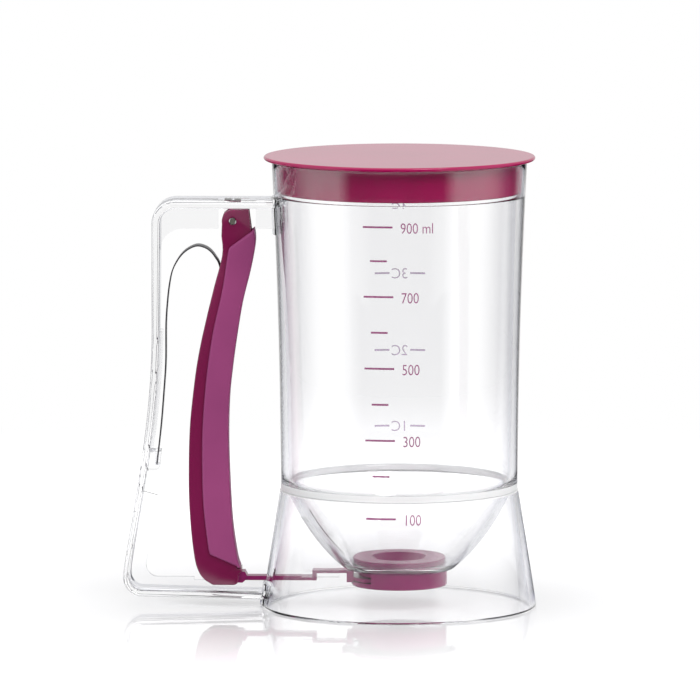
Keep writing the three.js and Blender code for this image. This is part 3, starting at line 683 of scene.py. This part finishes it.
def top_rib_outline():
    side_x = -(HANDLE_TOP_REACH - strip_at(TOP_RIB_Z))
    corner_z = TOP_RIB_Z - TOP_RIB_CORNER
    root = [p for p in middle_line() if p[1] > corner_z]
    corner = arc(side_x + TOP_RIB_CORNER, corner_z, TOP_RIB_CORNER, 180, 90, 12)
    return [*root, (root[-1][0], corner_z), *corner, (-WAIST_R / 2, TOP_RIB_Z)]


def foot_rib_outline():
    middle = middle_line()
    deep = inner_line(SIDE_RIB_DEPTH)
    side_top = SIDE_RIB_TOP - SIDE_RIB_RUN_IN
    corner_z = FOOT_RIB_Z + FOOT_RIB_CORNER
    side = on_side_bar(deep, corner_z, side_top)
    corner = arc(x_at(deep, corner_z) + FOOT_RIB_CORNER, corner_z, FOOT_RIB_CORNER, 270, 180, 12)
    return [
        (x_at(middle, SIDE_RIB_TOP), SIDE_RIB_TOP),
        *[p for p in middle if p[1] < SIDE_RIB_TOP],
        (-WAIST_R / 2, FOOT_RIB_LOW_Z),
        (FOOT_RIB_STEP_X, FOOT_RIB_LOW_Z),
        (FOOT_RIB_STEP_X, FOOT_RIB_Z),
        *corner,
        *side[::-1],
        (x_at(deep, side_top), side_top),
    ]


def spring_foot_x():
    return x_at(inner_line(0), CATCH_Z[1]) + SPRING_STAND_OFF


def spring_middle(steps=90):
    """Middle line of the spring, from the catch over its top to the lever's web."""
    foot_x = spring_foot_x()
    foot_z = CATCH_Z[0] + CATCH_FLOOR + FIT_GAP
    rise = SPRING_TOP_Z - foot_z
    tip_z = foot_z + rise * SPRING_SHARES[-1][1]
    web = lever_curve(FINGER_SHARES, -(GRIP + FIT_GAP + WEB))
    tip_x = x_at(web, tip_z) - FIT_GAP - SPRING_T
    points = [(foot_x + (tip_x - foot_x) * across, foot_z + rise * up) for across, up in SPRING_SHARES]
    return spline(points, steps)


def top_rib():
    """The rib under the loop's top, with a notch for the lever's head."""
    rib = plate("top_rib", top_rib_outline(), -RIB_HALF, RIB_HALF)
    low = (NOTCH[0], -NOTCH_HALF, TOP_RIB_Z - OVERRUN)
    high = (NOTCH[1], NOTCH_HALF, HANDLE_TOP - STRIP_TOP / 2)
    return combine(rib, block("head_notch", low, high), "DIFFERENCE")


def lug():
    """The tongue between the lever's cheeks that holds the pin."""
    half = LEVER_HALF - CHEEK - FIT_GAP
    root_z = HANDLE_TOP - STRIP_TOP / 2
    foot = arc(PIN_X, PIN_Z, LUG_R, 180, 360, 32)
    return plate("lug", [(PIN_X - LUG_R, root_z), *foot, (PIN_X + LUG_R, root_z)], -half, half)


def pad(name, low, high):
    """A wider pad that hugs the cup or the skirt."""
    wide = HANDLE_HALF + PAD_OVERHANG
    body = block(name, (-SKIRT_R - OVERRUN, -wide, low), (-WAIST_R / 2, wide, high))
    return combine(body, envelope("sleeve", FIT_GAP + PAD), "INTERSECT")


def make_handle():
    outline = [*handle_line(), *inner_line(0)[::-1]]
    handle = plate("handle_clear", outline, -HANDLE_HALF, HANDLE_HALF, HANDLE_EDGE)
    combine(handle, top_rib(), "UNION")
    combine(handle, plate("foot_rib", foot_rib_outline(), -RIB_HALF, RIB_HALF), "UNION")
    combine(handle, lug(), "UNION")
    for rail in make_rails():
        combine(handle, rail, "UNION")
    combine(handle, make_catch(), "UNION")
    combine(handle, pad("top_pad", TOP_PAD_Z, HANDLE_TOP + PAD_OVERHANG), "UNION")
    combine(handle, pad("foot_pad", *FOOT_PAD_Z), "UNION")
    combine(handle, envelope("body", FIT_GAP), "DIFFERENCE")
    hole = plate("pin_hole", circle(PIN_X, PIN_Z, PIN_R + FIT_GAP), -LEVER_HALF, LEVER_HALF)
    return smooth(combine(handle, hole, "DIFFERENCE"))


def make_rails():
    """Two low rails along the side bar, one on each side of the spring."""
    low, high = CATCH_Z[1] - RAIL_SINK, RAIL_TOP_Z
    root = on_side_bar(middle_line(), low, high)
    front = on_side_bar(inner_line(RAIL_DEPTH), low, high - RAIL_RUN_OUT)
    inside = SPRING_HALF + FIT_GAP
    outside = inside + CATCH_SIDE
    outline = [*root, *front[::-1]]
    return [plate("rail_left", outline, inside, outside), plate("rail_right", outline, -outside, -inside)]


def make_catch():
    """The pocket on the side bar that holds the spring's foot; its front leans with the spring."""
    middle = middle_line()
    low, high = CATCH_Z
    slot_half = SPRING_T / 2 + FIT_GAP
    slot_front = x_at(spring_middle(), high) + slot_half
    front = slot_front + CATCH_WALL
    foot_front = spring_foot_x() + slot_half + CATCH_WALL
    outline = [
        (x_at(middle, low), low), (foot_front - CATCH_CHAMFER, low), (foot_front, low + CATCH_CHAMFER),
        (foot_front, low + CATCH_FLOOR), (front, high), (x_at(middle, high), high),
    ]
    half = SPRING_HALF + FIT_GAP
    catch = plate("catch", outline, -(half + CATCH_SIDE), half + CATCH_SIDE)
    slot = block(
        "slot", (spring_foot_x() - slot_half, -half, low + CATCH_FLOOR), (slot_front, half, high + OVERRUN)
    )
    return combine(catch, slot, "DIFFERENCE")


def make_spring():
    middle = spring_middle()
    front = offset(middle, lambda z: SPRING_T / 2)
    back = offset(middle, lambda z: -SPRING_T / 2)
    outline = [*front, *back[::-1]]
    strip = plate("spring_leaf", outline, -SPRING_HALF, SPRING_HALF, SPRING_EDGE, SPRING_EDGE_ROUNDS)
    return smooth(strip)


# Lever

def lever_curve(shares, shift, steps=60):
    """A line down the lever from shares of its length and bow, moved along by shift."""
    points = [(PIN_X + LEVER_BOW * across + shift, PIN_Z - LEVER_DROP * down) for down, across in shares]
    return spline(points, steps)


def lever_outline():
    foot_z = PIN_Z - LEVER_DROP
    front = lever_curve(FINGER_SHARES, -(GRIP + FIT_GAP))
    foot_x = front[-1][0] + FOOT_LEDGE
    nose_foot, nose_edge, nose_top = (foot_z + rise for rise in NOSE_RISES)
    return [
        (front[0][0] - HEAD_SLOPE, PIN_Z + HEAD_R),
        *arc(PIN_X + HEAD_SHIFT, PIN_Z, HEAD_R, 90, 190, 24),
        *lever_curve(PALM_SHARES, 0),
        *arc(foot_x - FOOT_ROUND, foot_z + FOOT_ROUND, FOOT_ROUND, 270, 360, 12),
        (foot_x, nose_foot),
        (foot_x + NOSE, nose_edge),
        (foot_x + NOSE, nose_top),
        (front[-1][0], nose_top),
        *front[-2::-1],
    ]


def lever_hollow():
    """The room between the cheeks, behind the web and open at head and foot."""
    head_z = PIN_Z - HEAD_WEB_DROP
    foot_z = PIN_Z - LEVER_DROP + FOOT_WEB_RISE
    web = [p for p in lever_curve(FINGER_SHARES, -(GRIP + FIT_GAP + WEB)) if p[1] < head_z]
    out_x = PIN_X + LEVER_BOW + OVERRUN
    back_x = PIN_X - LEVER_BOW - OVERRUN
    top_z = PIN_Z + HEAD_R + OVERRUN
    low_z = PIN_Z - LEVER_DROP - OVERRUN
    inside = LEVER_HALF - CHEEK
    return plate("hollow", [
        (back_x, top_z), (out_x, top_z), (out_x, head_z), (web[0][0], head_z), *web,
        (web[-1][0], foot_z), (out_x, foot_z), (out_x, low_z), (back_x, low_z),
    ], -inside, inside)


def make_lever():
    lever = plate("lever_magenta", lever_outline(), -LEVER_HALF, LEVER_HALF, LEVER_EDGE)
    combine(lever, lever_hollow(), "DIFFERENCE")
    skin, deep = LEVER_HALF + OVERRUN, LEVER_HALF - PIN_RECESS
    ring = circle(PIN_X, PIN_Z, PIN_R + PIN_RECESS)
    for low, high in ((-skin, -deep), (deep, skin)):
        combine(lever, plate("recess", ring, low, high), "DIFFERENCE")
    hole = plate("hole", circle(PIN_X, PIN_Z, PIN_R + FIT_GAP), -skin, skin)
    return smooth(combine(lever, hole, "DIFFERENCE"))


def make_grip():
    front = lever_curve(FINGER_SHARES, 0)
    edge_line = lever_curve(GRIP_SHARES, 0)
    half = LEVER_HALF + FIT_GAP + GRIP
    outline = [*front, *edge_line[::-1]]
    grip = plate("grip_soft_sleeve", outline, -half, half, GRIP_EDGE, GRIP_EDGE_ROUNDS)
    lining = lever_curve(FINGER_SHARES, -GRIP)
    back_x = PIN_X - LEVER_BOW - OVERRUN
    foot_z = PIN_Z - LEVER_DROP
    inside = LEVER_HALF + FIT_GAP
    hollow = plate("grip_hollow", [
        (back_x, PIN_Z), (lining[0][0], PIN_Z), *lining, (lining[-1][0], foot_z), (back_x, foot_z),
    ], -inside, inside)
    return smooth(combine(grip, hollow, "DIFFERENCE"))


# Printed scale

def skirt_radius(z):
    return SKIRT_R + (SKIRT_TOP_R - SKIRT_R) * z / SKIRT_H


def on_wall(x, z, side):
    """A point just off the outside of the wall, in front with side -1 and behind with side 1."""
    radius = (cup_radius(z) if z > CUP_FOOT_Z else skirt_radius(z)) + PRINT_PROUD
    return place(x, side * math.sqrt(radius * radius - x * x), z)


def dash(bm, x0, x1, z, side, steps=8):
    """A thin band on the wall between two x."""
    low, high = [], []
    for i in range(steps + 1):
        x = x0 + (x1 - x0) * i / steps
        low.append(bm.verts.new(on_wall(x, z - DASH_T / 2, side)))
        high.append(bm.verts.new(on_wall(x, z + DASH_T / 2, side)))
    for i in range(steps):
        bm.faces.new((low[i], low[i + 1], high[i + 1], high[i]))


def word(bm, text, x, z, side, squeeze=1.0):
    """Thin lettering on the wall, its left foot at x, z for one who looks at that side."""
    curve = bpy.data.curves.new("word", "FONT")
    curve.body = text
    curve.size = 1.0
    curve.resolution_u = 4
    curve.offset = -DIGIT_THIN
    holder = new_object("word", curve)
    graph = bpy.context.evaluated_depsgraph_get()
    mesh = bpy.data.meshes.new_from_object(holder.evaluated_get(graph))
    cap = DIGIT_H / CAP_SHARE
    verts = []
    for vert in mesh.vertices:
        across = vert.co.x * cap * squeeze
        verts.append(bm.verts.new(on_wall(x - side * across, z + vert.co.y * cap, side)))
    for poly in mesh.polygons:
        bm.faces.new([verts[i] for i in poly.vertices])
    bpy.data.objects.remove(holder)


def make_front_scale():
    bm = bmesh.new()
    top, foot = max(MARKS.values()), min(MARKS.values())
    for amount, z in MARKS.items():
        odd = (amount // MARK_STEP) % 2 == 1
        shift = MARK_SHIFT + MARK_LEAN * (top - z) / (top - foot)
        start, end = LONG_DASH if odd else SHORT_DASH
        dash(bm, start + shift, end + shift, z, -1)
        if odd:
            text = f"{amount} ml" if z == top else str(amount)
            word(bm, text, DIGIT_X + shift, z - DIGIT_H / 2 - DIGIT_DROP, -1, DIGIT_SQUEEZE)
    return from_bmesh("scale_print", bm)


def make_back_scale():
    bm = bmesh.new()
    for cups, z in CUP_MARKS.items():
        for start, end in CUP_DASHES:
            dash(bm, start, end, z, 1)
        word(bm, "C", CUP_LETTER_X, z - DIGIT_H / 2, 1)
        word(bm, str(cups), CUP_DIGIT_X, z - DIGIT_H / 2, 1)
    return from_bmesh("cup_scale_print", bm)


# Materials

def material(name):
    mat = bpy.data.materials.new(name)
    mat.use_nodes = True
    return mat, mat.node_tree.nodes, mat.node_tree.links


def srgb(r, g, b):
    """A screen colour of 0 to 255 a channel, as linear light."""
    def channel(value):
        share = value / 255
        return share / 12.92 if share <= 0.04045 else ((share + 0.055) / 1.055) ** 2.4
    return (channel(r), channel(g), channel(b), 1.0)


def noise(nodes, links, scale, detail=2.0):
    coord = nodes.new("ShaderNodeTexCoord")
    tex = nodes.new("ShaderNodeTexNoise")
    tex.inputs["Scale"].default_value = scale
    tex.inputs["Detail"].default_value = detail
    links.new(coord.outputs["Object"], tex.inputs["Vector"])
    return tex


def tint(nodes, links, fac, low, high, spread=COLOUR_SPREAD):
    """A colour between low and high, by a value that runs over the spread."""
    ramp = nodes.new("ShaderNodeValToRGB")
    for stop, position, colour in zip(ramp.color_ramp.elements, spread, (low, high)):
        stop.position = position
        stop.color = colour
    links.new(fac, ramp.inputs["Fac"])
    return ramp


def bump(nodes, links, height, strength, distance):
    node = nodes.new("ShaderNodeBump")
    node.inputs["Strength"].default_value = strength
    node.inputs["Distance"].default_value = distance
    links.new(height, node.inputs["Height"])
    return node


def plastic(name, low, high, roughness, coat=0.0, grain=600.0, grain_depth=0.00002, gloss=0.5):
    """Coloured plastic that varies a little between two colours, with a fine grain."""
    mat, nodes, links = material(name)
    shader = nodes["Principled BSDF"]
    shader.inputs["Roughness"].default_value = roughness
    shader.inputs["Specular IOR Level"].default_value = gloss
    shader.inputs["Coat Weight"].default_value = coat
    shader.inputs["Coat Roughness"].default_value = COAT_ROUGHNESS
    colour = noise(nodes, links, COLOUR_SCALE)
    ramp = tint(nodes, links, colour.outputs["Fac"], low, high)
    links.new(ramp.outputs["Color"], shader.inputs["Base Color"])
    fine = noise(nodes, links, grain, GRAIN_DETAIL)
    ripple = bump(nodes, links, fine.outputs["Fac"], GRAIN_STRENGTH, grain_depth)
    links.new(ripple.outputs["Normal"], shader.inputs["Normal"])
    return mat


def layered(mat, under, over):
    """Lays one shader over another as the material's surface, and gives the mix that holds their share."""
    nodes, links = mat.node_tree.nodes, mat.node_tree.links
    mix = nodes.new("ShaderNodeMixShader")
    links.new(under, mix.inputs[1])
    links.new(over, mix.inputs[2])
    links.new(mix.outputs["Shader"], nodes["Material Output"].inputs["Surface"])
    return mix


def clear(name):
    """Clear plastic with painted shade where it is seen edge on, darker towards its edges; it casts no
    hard shadow.
    """
    mat, nodes, links = material(name)
    shader = nodes["Principled BSDF"]
    shader.inputs["Transmission Weight"].default_value = 1.0
    shader.inputs["IOR"].default_value = CLEAR_IOR
    shader.inputs["Roughness"].default_value = CLEAR_ROUGHNESS
    colour = noise(nodes, links, CLEAR_TINT_SCALE)
    ramp = tint(nodes, links, colour.outputs["Fac"], *CLEAR_TINTS)
    # Painted shade: the colour is multiplied darker towards the edge shade where the surface is seen edge
    # on
    facing = nodes.new("ShaderNodeLayerWeight")
    facing.inputs["Blend"].default_value = 0.5
    edge = tint(nodes, links, facing.outputs["Facing"], WHITE, CLEAR_EDGE_SHADE, (CLEAR_EDGE_SHADE_FROM, 1.0))
    both = nodes.new("ShaderNodeMix")
    both.data_type = "RGBA"
    both.blend_type = "MULTIPLY"
    both.inputs["Factor"].default_value = 1.0
    links.new(ramp.outputs["Color"], both.inputs["A"])
    links.new(edge.outputs["Color"], both.inputs["B"])
    links.new(both.outputs["Result"], shader.inputs["Base Color"])
    wave = noise(nodes, links, WAVE_SCALE)
    ripple = bump(nodes, links, wave.outputs["Fac"], WAVE_STRENGTH, WAVE_DEPTH)
    links.new(ripple.outputs["Normal"], shader.inputs["Normal"])
    open_way = nodes.new("ShaderNodeBsdfTransparent")
    open_way.inputs["Color"].default_value = CLEAR_SHADOW
    path = nodes.new("ShaderNodeLightPath")
    mix = layered(mat, shader.outputs["BSDF"], open_way.outputs["BSDF"])
    links.new(path.outputs["Is Shadow Ray"], mix.inputs["Fac"])
    return mat


def haze(name):
    """The milky plastic of a welded joint."""
    mat = plastic(name, *HAZE_TINTS, HAZE_ROUGHNESS)
    mat.node_tree.nodes["Principled BSDF"].inputs["Transmission Weight"].default_value = HAZE_OPENNESS
    return mat


def print_ink(name, low, high, openness):
    """Thin printed ink that lets a share of the light through."""
    mat = plastic(name, low, high, INK_ROUGHNESS)
    nodes = mat.node_tree.nodes
    open_way = nodes.new("ShaderNodeBsdfTransparent")
    mix = layered(mat, nodes["Principled BSDF"].outputs["BSDF"], open_way.outputs["BSDF"])
    mix.inputs["Fac"].default_value = openness
    return mat


def steel(name, colour, roughness):
    """Brushed steel."""
    mat, nodes, links = material(name)
    shader = nodes["Principled BSDF"]
    shader.inputs["Metallic"].default_value = 1.0
    coord = nodes.new("ShaderNodeTexCoord")
    stretch = nodes.new("ShaderNodeMapping")
    stretch.inputs["Scale"].default_value = BRUSH_SCALE
    links.new(coord.outputs["Object"], stretch.inputs["Vector"])
    tex = nodes.new("ShaderNodeTexNoise")
    tex.inputs["Scale"].default_value = 1.0
    links.new(stretch.outputs["Vector"], tex.inputs["Vector"])
    shade = tuple(channel * BRUSH_SHADE for channel in colour[:3]) + (1.0,)
    ramp = tint(nodes, links, tex.outputs["Fac"], shade, colour)
    links.new(ramp.outputs["Color"], shader.inputs["Base Color"])
    shader.inputs["Roughness"].default_value = roughness
    return mat


def dress(obj, mat, slot, body, *nodes):
    """Gives a new piece its material, its body and the nodes that it stands for; the slot argument is not
    used.
    """
    obj.data.materials.clear()
    obj.data.materials.append(mat)
    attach(obj, body)
    if nodes:
        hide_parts(*nodes)


def weld(obj, low, high):
    """Gives the outer faces between two heights the look of a welded joint."""
    obj.data.materials.append(weld_haze)
    for poly in obj.data.polygons:
        heights = [obj.data.vertices[i].co.z / MM for i in poly.vertices]
        if min(heights) > low - WELD_SLACK and max(heights) < high + WELD_SLACK:
            poly.material_index = 1


clear_plastic = clear("clear_plastic")
weld_haze = haze("weld_haze")
lid_plastic = plastic("lid_plastic", srgb(146, 0, 70), srgb(154, 3, 76), 0.12, gloss=0.4)
lever_plastic = plastic("lever_plastic", srgb(102, 12, 58), srgb(110, 15, 64), 0.18, coat=0.2)
valve_plastic = plastic("valve_plastic", srgb(122, 22, 82), srgb(130, 26, 88), 0.25, gloss=0.35)
grip_soft = plastic(
    "grip_soft", srgb(130, 42, 98), srgb(138, 48, 104), 0.5, grain=2500.0, grain_depth=0.00006
)
ink = print_ink("scale_ink", srgb(122, 4, 88), srgb(130, 8, 96), 0.1)
pale_ink = print_ink("cup_scale_ink", srgb(170, 120, 180), srgb(178, 130, 188), 0.35)
pin_steel = steel("pin_steel", srgb(140, 138, 128), 0.5)
spring_steel = steel("spring_steel", srgb(78, 76, 80), 0.35)
silicone = plastic("seal_silicone", srgb(225, 222, 218), srgb(232, 230, 226), 0.6)

cup = make_cup()
skirt = make_skirt()
dress(cup, clear_plastic, "clear_cup", "cup_body", "cup", "funnel_bowl")
dress(skirt, clear_plastic, "clear_base", "cup_body", "base_skirt")
weld(cup, CUP_FOOT_Z, CUP_FOOT_Z + WELD_RISE)
weld(skirt, SKIRT_H - WELD_DROP, SKIRT_H)
dress(make_handle(), clear_plastic, "clear_handle", "cup_body", "handle_frame")
dress(make_lid(), lid_plastic, "lid_plastic", "lid", "lid_cap")
dress(make_housing(), valve_plastic, "valve_plastic", "cup_body", "valve_housing")
dress(make_seat(), valve_plastic, "valve_plastic", "cup_body", "valve_seat")
dress(make_lever(), lever_plastic, "lever_plastic", "lever", "trigger_lever")
dress(make_grip(), grip_soft, "grip_soft", "lever", "lever_grip")
dress(make_front_scale(), ink, "lid_plastic", "cup_body")
dress(make_back_scale(), pale_ink, "lid_plastic", "cup_body")

spring = make_spring()
spring.data.materials.append(spring_steel)
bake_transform(spring)
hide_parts("leaf_spring")

for node, mat in (
    ("pull_rod", valve_plastic), ("gate_slide", valve_plastic), ("pivot_pin", pin_steel),
    ("seat_gasket", silicone), ("outlet_seal", silicone),
):
    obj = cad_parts[node]
    for holder in obj.material_slots:
        holder.material = mat


# Floor, light and camera

def light_ramp(nodes, links, towards_back, lights):
    """Light by direction, bluer where it is dim."""
    ramp = nodes.new("ShaderNodeValToRGB")
    stops = ramp.color_ramp.elements
    while len(stops) < len(lights):
        stops.new(0.5)
    for stop, (backness, light) in zip(stops, lights):
        stop.position = (backness + 1) / 2
        blue = light * DIM_BLUE if light < DIM_LIGHT else light
        stop.color = (light, light, blue, 1)
    links.new(towards_back, ramp.inputs["Fac"])
    glow = nodes.new("ShaderNodeEmission")
    glow.inputs["Strength"].default_value = STUDIO_STRENGTH
    links.new(ramp.outputs["Color"], glow.inputs["Color"])
    return glow.outputs["Emission"]


def studio(nodes, links, direction, lights):
    """The studio in a direction: one light for surfaces, one for what is seen through clear parts."""
    parts = nodes.new("ShaderNodeSeparateXYZ")
    links.new(direction, parts.inputs["Vector"])
    share = nodes.new("ShaderNodeMapRange")
    share.inputs["From Min"].default_value = -1.0
    share.inputs["From Max"].default_value = 1.0
    links.new(parts.outputs["Y"], share.inputs["Value"])
    towards_back = share.outputs["Result"]
    surfaces = light_ramp(nodes, links, towards_back, lights)
    through = light_ramp(nodes, links, towards_back, THROUGH_LIGHT)
    return ray_mix(nodes, links, "Is Transmission Ray", surfaces, through)


def ray_mix(nodes, links, ray, others, chosen):
    """One shader for one kind of ray, another for all the others."""
    path = nodes.new("ShaderNodeLightPath")
    mix = nodes.new("ShaderNodeMixShader")
    links.new(path.outputs[ray], mix.inputs["Fac"])
    links.new(others, mix.inputs[1])
    links.new(chosen, mix.inputs[2])
    return mix.outputs["Shader"]


def falling(nodes, links, distance, fade, high):
    """A value that falls from high to nothing over a stretch of distance."""
    node = nodes.new("ShaderNodeMapRange")
    node.inputs["From Min"].default_value = fade[0]
    node.inputs["From Max"].default_value = fade[1]
    node.inputs["To Min"].default_value = high
    node.inputs["To Max"].default_value = 0.0
    links.new(distance, node.inputs["Value"])
    return node.outputs["Result"]


def make_floor():
    """A white floor, with a soft shadow and a faint mirror image near the object."""
    bm = bmesh.new()
    bmesh.ops.create_grid(bm, x_segments=1, y_segments=1, size=FLOOR_HALF)
    floor = solid("floor", bm)
    floor.location = (0, 0, -FLOOR_SINK)
    mat, nodes, links = material("floor_white")
    shader = nodes["Principled BSDF"]
    shader.inputs["Base Color"].default_value = FLOOR_COLOUR
    shader.inputs["Roughness"].default_value = FLOOR_ROUGHNESS
    shader.inputs["Specular IOR Level"].default_value = 0.0
    shader.inputs["Emission Color"].default_value = WHITE
    shader.inputs["Emission Strength"].default_value = FLOOR_GLOW
    coord = nodes.new("ShaderNodeTexCoord")
    length = nodes.new("ShaderNodeVectorMath")
    length.operation = "LENGTH"
    links.new(coord.outputs["Object"], length.inputs[0])
    mirror = nodes.new("ShaderNodeBsdfGlossy")
    mirror.inputs["Roughness"].default_value = MIRROR_ROUGHNESS
    gloss = nodes.new("ShaderNodeMixShader")
    distance = length.outputs["Value"]
    links.new(falling(nodes, links, distance, MIRROR_FADE, FLOOR_MIRROR), gloss.inputs["Fac"])
    links.new(shader.outputs["BSDF"], gloss.inputs[1])
    links.new(mirror.outputs["BSDF"], gloss.inputs[2])
    narrow = nodes.new("ShaderNodeMapping")
    narrow.inputs["Scale"].default_value = FLOOR_NARROWING
    links.new(coord.outputs["Object"], narrow.inputs["Vector"])
    outward = nodes.new("ShaderNodeVectorMath")
    outward.operation = "NORMALIZE"
    links.new(narrow.outputs["Vector"], outward.inputs[0])
    far = studio(nodes, links, outward.outputs["Vector"], FLOOR_LIGHT)
    white = nodes.new("ShaderNodeEmission")
    beyond = ray_mix(nodes, links, "Is Camera Ray", far, white.outputs["Emission"])
    mix = nodes.new("ShaderNodeMixShader")
    links.new(falling(nodes, links, distance, NEAR_FADE, 1.0), mix.inputs["Fac"])
    links.new(beyond, mix.inputs[1])
    links.new(gloss.outputs["Shader"], mix.inputs[2])
    mirrored = ray_mix(nodes, links, "Is Glossy Ray", mix.outputs["Shader"], far)
    seen = ray_mix(nodes, links, "Is Transmission Ray", mirrored, mix.outputs["Shader"])
    links.new(seen, nodes["Material Output"].inputs["Surface"])
    floor.data.materials.append(mat)


def make_world():
    """The studio all round, white where the camera sees past the object."""
    world = bpy.data.worlds.new("studio")
    bpy.context.scene.world = world
    world.use_nodes = True
    nodes, links = world.node_tree.nodes, world.node_tree.links
    coord = nodes.new("ShaderNodeTexCoord")
    white = nodes["Background"]
    white.inputs["Color"].default_value = WHITE
    around = studio(nodes, links, coord.outputs["Generated"], SKY_LIGHT)
    seen = ray_mix(nodes, links, "Is Camera Ray", around, white.outputs["Background"])
    links.new(seen, nodes["World Output"].inputs["Surface"])


def lamp(name, location, side, watts):
    """A soft square lamp that looks at the middle of the object."""
    data = bpy.data.lights.new(name, "AREA")
    data.shape = "RECTANGLE"
    data.size = side
    data.size_y = side
    data.energy = watts
    obj = new_object(name, data)
    obj.location = location
    aim = Vector(LAMP_AIM) - obj.location
    obj.rotation_euler = aim.to_track_quat("-Z", "Y").to_euler()


def make_camera():
    """A long lens that looks a little down at the object, from the photo's direction."""
    data = bpy.data.cameras.new("camera")
    data.sensor_width = SENSOR
    data.lens = FOCAL_PX * SENSOR / PICTURE_PX
    data.clip_start, data.clip_end = CAMERA_CLIP
    camera = new_object("camera", data)
    turn = math.radians(CAMERA_AZIMUTH)
    target = place(*AIM)
    away = Vector((math.sin(turn), -math.cos(turn), 0)) * CAMERA_DISTANCE * MM
    camera.location = target + away + Vector((0, 0, (CAMERA_Z - AIM[2]) * MM))
    camera.rotation_euler = (target - camera.location).to_track_quat("-Z", "Y").to_euler()
    bpy.context.scene.camera = camera


make_floor()
make_world()
lamp("top", *TOP_LAMP)
lamp("key", *KEY_LAMP)
make_camera()
bpy.context.scene.view_settings.view_transform = "Standard"
